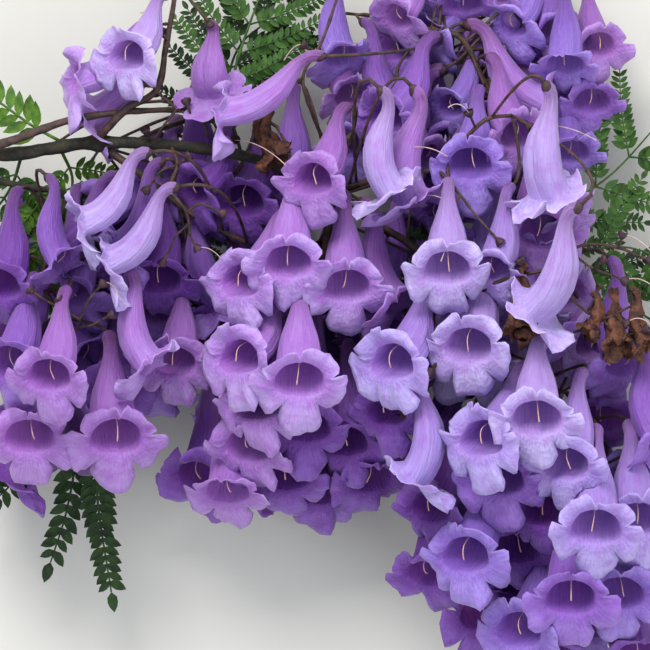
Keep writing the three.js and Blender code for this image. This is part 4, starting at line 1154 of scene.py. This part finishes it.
def stalk_course(index, flower):
    """The course of a flower's stalk, from its stem to its calyx."""
    way = unit(in_flower(flower, CALYX_END) - in_flower(flower, NECK))
    tip = in_flower(flower, CALYX_END)
    others = np.ones(len(balls), bool)
    others[index * len(own_balls):index * len(own_balls) + NECK_BALLS] = False
    best, least = None, math.inf
    for foot in courses[flower["on"]].at(np.arange(21) / 20):
        knee = tip + way * STALK_KNEE * np.linalg.norm(foot - tip)
        course = bow(foot, knee, tip)
        points = course.at(np.arange(2, 12) / 12)
        gaps = np.linalg.norm(points[:, None] - balls[others], axis=-1)
        hits = np.maximum(all_radii[others] + STALK_ROOM - gaps, 0).sum()
        ways = course.way(np.arange(4) / 3)
        bend = max(math.acos(min(1, a.dot(b))) for a, b in zip(ways, ways[1:]))
        cost = np.linalg.norm(foot - tip) + HIT_COST * hits + BEND_COST * max(0, bend - STALK_BEND)
        if cost < least:
            best, least = course, cost
    return best


stalks = [stalk_course(index, flower) for index, flower in enumerate(flowers)]
lengths = [stalk.length for stalk in stalks]
print("stalks:", len(stalks), "from", round(min(lengths)), "to", round(max(lengths)), "mm")

# %% [markdown]
# The bark's relief is in the mesh: a limb swells at its nodes, where leaves once stood, and noise
# roughens it in ridges along its length. Stalks are thinner, smoother and reddish, and are joined
# to the limb they grow from.

# %% Bark
BARK_DEPTH, RIDGE_ROUND, RIDGE_LONG = 0.13, 1.5, 4.5
KNOT_SWELL, KNOT_PITCH, KNOT_WIDE = 0.16, 17, 2.2
NODE_SWELL, NODE_WIDE, NODE_AT = 0.45, 3.2, {"branch_main": 0.42}


def bark_relief(seed, length, node_share):
    """A factor for the radius: knots at every pitch, one swollen node, and ridges."""

    def ridge(around, walked):
        angle = 6.283 * around
        place = (math.cos(angle) * RIDGE_ROUND + seed, math.sin(angle) * RIDGE_ROUND, walked / RIDGE_LONG)
        return noise.fractal(Vector(place), 1.0, 2.0, 4)

    def relief(across, share, centres):
        walked = share * length / KNOT_PITCH + 0.13 * np.sin(share * 17 + seed)
        knots = KNOT_SWELL * np.exp(-(((walked - np.rint(walked)) * KNOT_PITCH / KNOT_WIDE) ** 2))
        swollen = NODE_SWELL * np.exp(-((((share - node_share) * length) / NODE_WIDE) ** 2))
        ridges = np.array([ridge(a, s * length) for a, s in zip(across, share)])
        return 1 + knots + swollen + BARK_DEPTH * ridges

    return relief


def limb_part(name, seed):
    """A limb or stem as a closed rod with its bark."""
    course = courses[name]
    rows = max(24, round(course.length / 0.9))
    relief = bark_relief(seed, course.length, NODE_AT.get(name, -1))
    return rod(course, tapered(radii[name]), 18, rows, 0, relief)


def stalk_part(course, seed):
    """A flower's stalk, thickest where it meets the calyx, with one small joint."""
    joint = 0.25 + 0.4 * wobble(seed, 3)
    return rod(course, lambda s: 0.55 + 0.2 * s**3 + 0.22 * np.exp(-(((s - joint) / 0.05) ** 2)), 7, 14, 1)


for seed, name in enumerate(courses):
    parts = [limb_part(name, seed)]
    parts += [stalk_part(stalks[i], i) for i, flower in enumerate(flowers) if flower["on"] == name]
    thick = name in ("branch_main", "bough_left")
    piece = gathered(name + "_bark", parts, [old_bark if thick else young_bark, young_bark])
    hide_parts(name)
    print(piece.name, len(piece.data.polygons), "faces")

# %% [markdown]
# ## Twigs with spent flowers
# Where flowers have dropped, thin jointed twigs carry only their cups, and from some of these the
# old style still hangs as a long pale thread. A few flowers have dried on the twig and crumpled up
# brown. The twigs stand on a limb: the first place of each is moved on to the limb's own course.

# %% Twigs, cups and threads
TWIGS = {
    # carrier, places, radii
    "cross_1": ("bough_top", [(155, 90, 8), (177, 108, 11), (204, 123, 11), (207, 136, 8)], (0.65, 0.4)),
    "cross_2": ("cross_1", [(177, 108, 11), (164, 124, 11), (154, 138, 8)], (0.5, 0.4)),
    "jointed": ("branch_main", [(170, 145, 4), (177, 165, 12), (170, 188, 16), (186, 212, 18),
                                (190, 236, 16)], (0.8, 0.5)),
    "jointed_1": ("jointed", [(177, 165, 12), (162, 170, 16), (153, 182, 18)], (0.5, 0.35)),
    "jointed_2": ("jointed", [(186, 212, 18), (200, 204, 20), (212, 208, 20)], (0.5, 0.35)),
    "jointed_3": ("jointed", [(188, 224, 17), (176, 236, 19), (170, 250, 18)], (0.45, 0.3)),
    "high": ("bough_back", [(330, 152, -5), (312, 112, 6), (303, 76, 10), (322, 40, 8),
                            (338, -6, 6)], (0.8, 0.5)),
    "high_1": ("high", [(303, 76, 10), (288, 84, 14), (276, 80, 15)], (0.5, 0.35)),
    "fork_1": ("bough_far_right", [(437, 168, 16), (460, 195, 24), (475, 215, 28),
                                   (490, 232, 30)], (0.7, 0.4)),
    "fork_2": ("fork_1", [(460, 195, 24), (452, 214, 28), (456, 230, 30)], (0.5, 0.35)),
    "long": ("bough_right", [(452, 302, -4), (472, 296, 22), (510, 277, 36), (543, 270, 38),
                             (580, 246, 36), (617, 248, 34), (638, 257, 32)], (1.0, 0.5)),
    "long_1": ("long", [(570, 254, 36), (590, 268, 38), (612, 276, 38)], (0.55, 0.35)),
    "long_2": ("long", [(556, 264, 37), (570, 298, 38), (600, 318, 36), (630, 306, 34)], (0.7, 0.4)),
    "long_3": ("long_2", [(600, 318, 36), (614, 332, 36), (634, 334, 34)], (0.5, 0.35)),
    "hanging": ("bough_right", [(424, 256, 1), (434, 300, 18), (431, 344, 22), (428, 388, 16)], (0.8, 0.5)),
    "low": ("panicle_left", [(60, 316, -12), (74, 330, 14), (80, 320, 26), (66, 311, 30),
                             (40, 297, 32)], (0.8, 0.4)),
    "low_1": ("low", [(80, 320, 26), (89, 301, 30), (96, 292, 31)], (0.5, 0.35)),
    "low_2": ("low", [(78, 326, 22), (90, 326, 28), (102, 320, 30)], (0.5, 0.35)),
}
CUPS = [
    # twig, where its foot is, the cup, where its thread ends if it has one
    ("cross_1", (190, 116), (187, 104, 14), None), ("jointed", (177, 165), (186, 158, 16), None),
    ("jointed_1", (155, 180), (148, 188, 20), None), ("jointed_2", (210, 207), (220, 212, 22), None),
    ("jointed", (190, 236), (196, 246, 20), (224, 262, 24)), ("jointed_3", (170, 250), (164, 260, 20), None),
    ("jointed", (171, 186), (160, 196, 20), None), ("high_1", (278, 80), (268, 84, 17), None),
    ("high", (316, 52), (306, 46, 13), (284, 60, 16)),
    ("bough_far_right", (412, 171), (404, 152, 24), (447, 157, 28)),
    ("bough_far_right", (424, 169), (417, 196, 26), (448, 203, 30)),
    ("bough_far_right", (512, 115), (528, 126, 24), (596, 141, 26)),
    ("bough_far_right", (476, 128), (470, 116, 24), (448, 108, 26)),
    ("fork_1", (490, 232), (497, 240, 34), None), ("fork_2", (456, 230), (456, 242, 34), (440, 262, 46)),
    ("long", (638, 257), (646, 260, 36), (676, 268, 38)),
    ("long", (617, 248), (620, 238, 38), (652, 256, 42)),
    ("long_1", (612, 276), (620, 280, 41), (652, 288, 42)), ("long_1", (592, 269), (600, 262, 42), None),
    ("long_2", (612, 314), (622, 322, 40), (652, 328, 40)), ("long_3", (634, 334), (642, 330, 38), None),
    ("long", (526, 274), (520, 264, 42), None), ("hanging", (430, 362), (438, 370, 24), None),
    ("branch_main", (226, 151), (234, 141, 16), (286, 166, 34)),
    ("branch_main", (150, 143), (146, 132, 10), None), ("bough_top", (156, 88), (146, 84, 14), None),
    ("bough_top", (168, 40), (160, 32, 8), (140, 12, 12)), ("low", (48, 302), (34, 292, 35), None),
    ("low_1", (96, 292), (102, 286, 34), (122, 300, 36)), ("low_2", (102, 320), (110, 316, 34), None),
    ("low", (70, 313), (62, 302, 34), None),
]
STALK_RADIUS, THREAD_RADIUS, CUP_SIZE = 0.42, 0.17, 0.8
TWIG_JOINTS, JOINT_SWELL, JOINT_WIDE = 4, 0.24, 0.09


def nearest_on(course, place):
    """The place of a course that lies under a place in the picture."""
    points = course.at(np.linspace(0, 1, 240))
    return points[np.argmin(np.linalg.norm(points[:, :2] - spot((*place[:2], 0))[:2], axis=1))]


def jointed(ends, seed):
    """A radius that tapers, with small swollen joints."""

    def radius(shares):
        steps = shares * TWIG_JOINTS + wobble(seed, 2)
        return tapered(ends)(shares) + JOINT_SWELL * np.exp(-(((steps - np.rint(steps)) / JOINT_WIDE) ** 2))

    return radius


twig_courses = dict(courses)
twig_parts, thread_parts = [], []
for seed, (name, (carrier, places, ends)) in enumerate(TWIGS.items()):
    foot = nearest_on(twig_courses[carrier], places[0])
    course = spline_course(np.array([foot] + [spot(place) for place in places[1:]]))
    twig_courses[name] = course
    twig_parts.append(rod(course, jointed(ends, seed), 8, max(16, round(course.length)), 0))
for seed, (carrier, foot, cup, thread) in enumerate(CUPS):
    start, end = nearest_on(twig_courses[carrier], foot), spot(cup)
    knee = (start + end) / 2 + [0, 0, 2]
    twig_parts.append(rod(bow(start, knee, end), lambda s: STALK_RADIUS + 0.12 * s, 7, 10, 0))
    way = unit(end - knee)
    cup_part = calyx(1)
    spin = Vector(NECK - CALYX_END).rotation_difference(Vector(way)).to_matrix().to_4x4()
    moves = Matrix.Translation(Vector(end)) @ spin @ Matrix.Scale(CUP_SIZE, 4)
    moves = moves @ Matrix.Translation(-Vector(CALYX_END))
    bmesh.ops.transform(cup_part, matrix=moves, verts=cup_part.verts)
    twig_parts.append(cup_part)
    if thread:
        tip = spot(thread)
        hang = bow(end + way, (end + tip) / 2 + [0, 3 + 3 * wobble(seed, 1), 2], tip)
        thread_parts.append(rod(hang, lambda s: THREAD_RADIUS + 0.14 * np.clip(s * 12 - 11, 0, 1), 6, 20, 0))
gathered("twigs", twig_parts, [young_bark, calyx_finish])
gathered("old_styles", thread_parts, [style_finish])
print(len(TWIGS), "twigs,", len(CUPS), "cups,", len(thread_parts), "threads")

# %% [markdown]
# A dried flower is the same corolla, small, limp and crumpled by noise, in brown.

# %% Dried flowers
DRIED = [
    # carrier, place, turn, how far it looks up, size
    ("branch_main", (272, 150, 12), -60, 10, 0.52),
    ("long", (520, 322, 40), -100, 20, 0.5),
    ("long_3", (616, 342, 36), -80, 30, 0.46),
    ("long_3", (642, 340, 34), -60, 10, 0.46),
    ("long_2", (590, 326, 38), -120, 10, 0.36),
    ("bough_right", (410, 404, 20), -90, 0, 0.4),
]
CRUMPLE, CRUMPLE_FINE, LIMP, DRIED_SEEDS = 2.6, 0.42, 1.6, 900
noise.seed_set(7)  # without a seed, the noise vector would change from run to run
dried_parts = []
for seed, (carrier, place, turn, nod, size) in enumerate(DRIED):
    flower = {"mouth": spot(place), "turn": turn, "nod": nod, "size": size, "limp": LIMP,
              "detail": FILL_DETAIL}
    base = in_flower(flower, CALYX_END)
    foot = nearest_on(twig_courses[carrier], (place[0], place[1] - 20))
    shell, cup, _ = flower_parts(flower, DRIED_SEEDS + seed)
    for vert in shell.verts:
        vert.co += noise.noise_vector(vert.co * CRUMPLE_FINE + Vector((seed, 0, 0))) * CRUMPLE
    stalk = rod(bow(foot, (foot + base) / 2 + [0, 0, 2], base), tapered((0.5, 0.45)), 7, 12, 1)
    dried_parts += [painted(shell, 0), painted(cup, 1), stalk]
gathered("dried_flowers", dried_parts, [dried_finish, calyx_finish])
print(len(DRIED), "dried flowers")

# %% [markdown]
# ## Leaves
# A leaf of this tree is divided twice: thin ribs stand in pairs along its midrib, and each carries
# two rows of small leaflets, like a feather. Some leaves low in the branch have one row of larger
# leaflets only. Six leaves have solids, and eight more of both kinds hang behind the branch. One
# leaflet is a folded blade of eight quads, made once. Its copies are laid in arrays and joined, as
# there are thousands.

# %% The leaflet
blade_bm = bmesh.new()
bmesh.ops.create_grid(blade_bm, x_segments=4, y_segments=2, size=0.5)
for vert in blade_bm.verts:
    length, across = vert.co.x + 0.5, vert.co.y * 2
    half = math.sin(math.pi * min(length**0.8, 1)) ** 0.75 * 0.5 if 0 < length < 1 else 0
    vert.co = (length, across * half, abs(across) * half * 0.25 - 0.06 * math.sin(math.pi * length))
bmesh.ops.remove_doubles(blade_bm, verts=blade_bm.verts, dist=1e-4)
blade_bm.verts.index_update()
BLADE_POINTS = np.array([vert.co for vert in blade_bm.verts])
BLADE_FACES = [[vert.index for vert in face.verts] for face in blade_bm.faces]
blade_bm.free()
print("leaflet:", len(BLADE_POINTS), "points,", len(BLADE_FACES), "faces")

# %% Lay leaflets along the ribs
LEAVES = {
    # course, pairs of ribs, rib length, pairs of leaflets, leaflet length and width, green
    "leaf_left": ([(66, 144, 1), (30, 124, -4), (-16, 92, -8), (-60, 70, -10)],
                  0, 0, 10, 12, 0.4, "sunlit"),
    "leaf_under": ([(30, 187, 0), (44, 222, -8), (74, 262, -12)],
                   4, 26, 10, 5.6, 0.42, "sunlit"),
    "leaf_low": ([(66, 378, -18), (88, 450, -24), (96, 520, -26), (108, 596, -26)],
                 0, 0, 19, 9.2, 0.52, "shaded"),
    "leaf_low_left": ([(64, 366, -16), (72, 450, -28), (62, 515, -30), (46, 566, -30)],
                      0, 0, 13, 9.6, 0.52, "shaded"),
    "leaf_top": ([(226, 113, 0.5), (236, 60, -9), (256, 0, -16), (270, -40, -18)],
                 5, 34, 13, 5.8, 0.42, "green"),
    "leaf_right": ([(476, 333, -6), (560, 262, -18), (630, 246, -22), (700, 276, -22)],
                   5, 36, 13, 6.0, 0.42, "green"),
}
FEATHERS = {
    # more leaves of the same kind behind the branch, which have no solid of their own
    "feather_left": ([(58, 146, 1), (70, 180, -10), (58, 214, -16), (30, 246, -20)],
                     5, 22, 10, 5.4, 0.42, "sunlit"),
    "feather_edge": ([(20, 153, 0), (8, 186, -8), (-14, 214, -14), (-40, 236, -16)],
                     4, 24, 10, 5.6, 0.42, "green"),
    "feather_between": ([(150, 148, 0), (168, 196, -14), (188, 258, -22), (206, 318, -26)],
                        7, 20, 10, 4.8, 0.42, "green"),
    "feather_top": ([(240, 150, -2), (226, 90, -14), (240, 40, -20), (286, 6, -22)],
                    6, 30, 12, 5.6, 0.42, "shaded"),
    "feather_mid": ([(380, 226, -4), (402, 250, -16), (418, 286, -22), (416, 330, -26)],
                    4, 16, 8, 4.8, 0.42, "shaded"),
    "feather_right": ([(470, 328, -8), (560, 214, -24), (618, 170, -26), (664, 120, -26)],
                      6, 36, 13, 6.0, 0.42, "green"),
    "feather_low": ([(50, 372, -14), (26, 440, -26), (8, 484, -28), (-14, 506, -28)],
                    0, 0, 12, 9, 0.52, "shaded"),
    "feather_far": ([(560, 262, -18), (610, 292, -24), (650, 316, -26), (690, 340, -26)],
                    4, 28, 11, 6.0, 0.42, "shaded"),
}


def leaflet_places(course, pairs, first, long, seed):
    """Where the leaflets of a rib go: matrices with the blade's length, width and normal."""
    places = []
    for k in range(pairs):
        share = first + (0.97 - first) * k / max(pairs - 0.5, 1)
        way, foot = course.way(share)[0], course.at(share)[0]
        flat = unit(np.array([0.7 * wobble(k, seed) - 0.35, 0.7 * wobble(k, seed + 1) - 0.35, 1.0]))
        for hand in (1, -1):
            side = unit(np.cross(flat, way)) * hand
            ahead = way * (0.5 + 0.3 * wobble(k, seed + 2)) + side * 0.85 - flat * 0.25 * wobble(k, seed + 3)
            size = long * (1.08 - 0.4 * share) * (0.88 + 0.24 * wobble(2 * k + hand, seed + 4))
            places.append((foot, unit(ahead), flat, size))
    places.append((course.at(1)[0], course.way(1)[0], np.array([0, 0, 1.0]), long * 0.85))
    return places


def ribs_of(course, count, long, seed):
    """The side ribs of a twice divided leaf."""
    found = []
    for k in range(count):
        share = 0.22 + 0.78 * k / max(count - 1, 1)
        foot, way = course.at(share)[0], course.way(share)[0]
        side = unit(np.cross((0, 0, 1), way))
        for hand in ((1, -1) if k < count - 1 else (0.25,)):
            out = unit(way * 0.7 + side * 0.8 * hand)
            tip = foot + out * long * (1.1 - 0.3 * share) * (0.9 + 0.2 * wobble(k, seed)) - [0, 0, 3]
            middle = (foot + tip) / 2 + side * hand * 1.5 + [0, 0, 1.5]
            found.append(spline_course(np.array([foot, middle, tip])))
    return found


def joined_blades(name, places, finish, width):
    """All the leaflets of a leaf as one mesh, laid out in arrays."""
    points, faces = [], []
    for foot, ahead, flat, size in places:
        ahead = unit(ahead)
        side = unit(np.cross(flat, ahead))
        normal = np.cross(ahead, side)
        wide = size * width
        faces += [[len(points) * len(BLADE_POINTS) + i for i in face] for face in BLADE_FACES]
        points.append(foot + BLADE_POINTS @ np.array([ahead * size, side * wide, normal * wide]))
    mesh = bpy.data.meshes.new(name)
    mesh.from_pydata(np.vstack(points) * MM + SHIFT, [], faces)
    mesh.polygons.foreach_set("use_smooth", [True] * len(faces))
    lay_on_floor(mesh)
    mesh.materials.append(finish)
    piece = bpy.data.objects.new(name, mesh)
    bpy.context.collection.objects.link(piece)
    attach(piece, "root")
    return piece


for seed, (name, own) in enumerate({**LEAVES, **FEATHERS}.items()):
    places, ribs, rib, pairs, long, width, green = own
    midrib = course_through(places)
    side_ribs = ribs_of(midrib, ribs, rib, seed) if ribs else []
    blades = [] if ribs else leaflet_places(midrib, pairs, 0.25, long, seed)
    for k, course in enumerate(side_ribs):
        blades += leaflet_places(course, pairs, 0.1, long, seed + 10 * k)
    piece = joined_blades(name + "_leaflets", blades, leaf_finishes[green], width)
    if name in LEAVES:
        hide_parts(name)
    parts = [rod(midrib, tapered((0.7, 0.3)), 7, 24)]
    parts += [rod(course, tapered((0.4, 0.18)), 5, 12) for course in side_ribs]
    gathered(name + "_ribs", parts, [leaf_finishes[green]])
    print(name, len(blades), "leaflets,", len(side_ribs), "ribs")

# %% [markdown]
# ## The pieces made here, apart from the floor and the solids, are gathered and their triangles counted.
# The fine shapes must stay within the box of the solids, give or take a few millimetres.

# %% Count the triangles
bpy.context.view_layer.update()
pieces = [o for o in bpy.data.objects
          if o.type == "MESH" and o.name != "floor" and o.name not in frame["nodes"]]
print("triangles:", sum(len(p.vertices) - 2 for o in pieces for p in o.data.polygons))
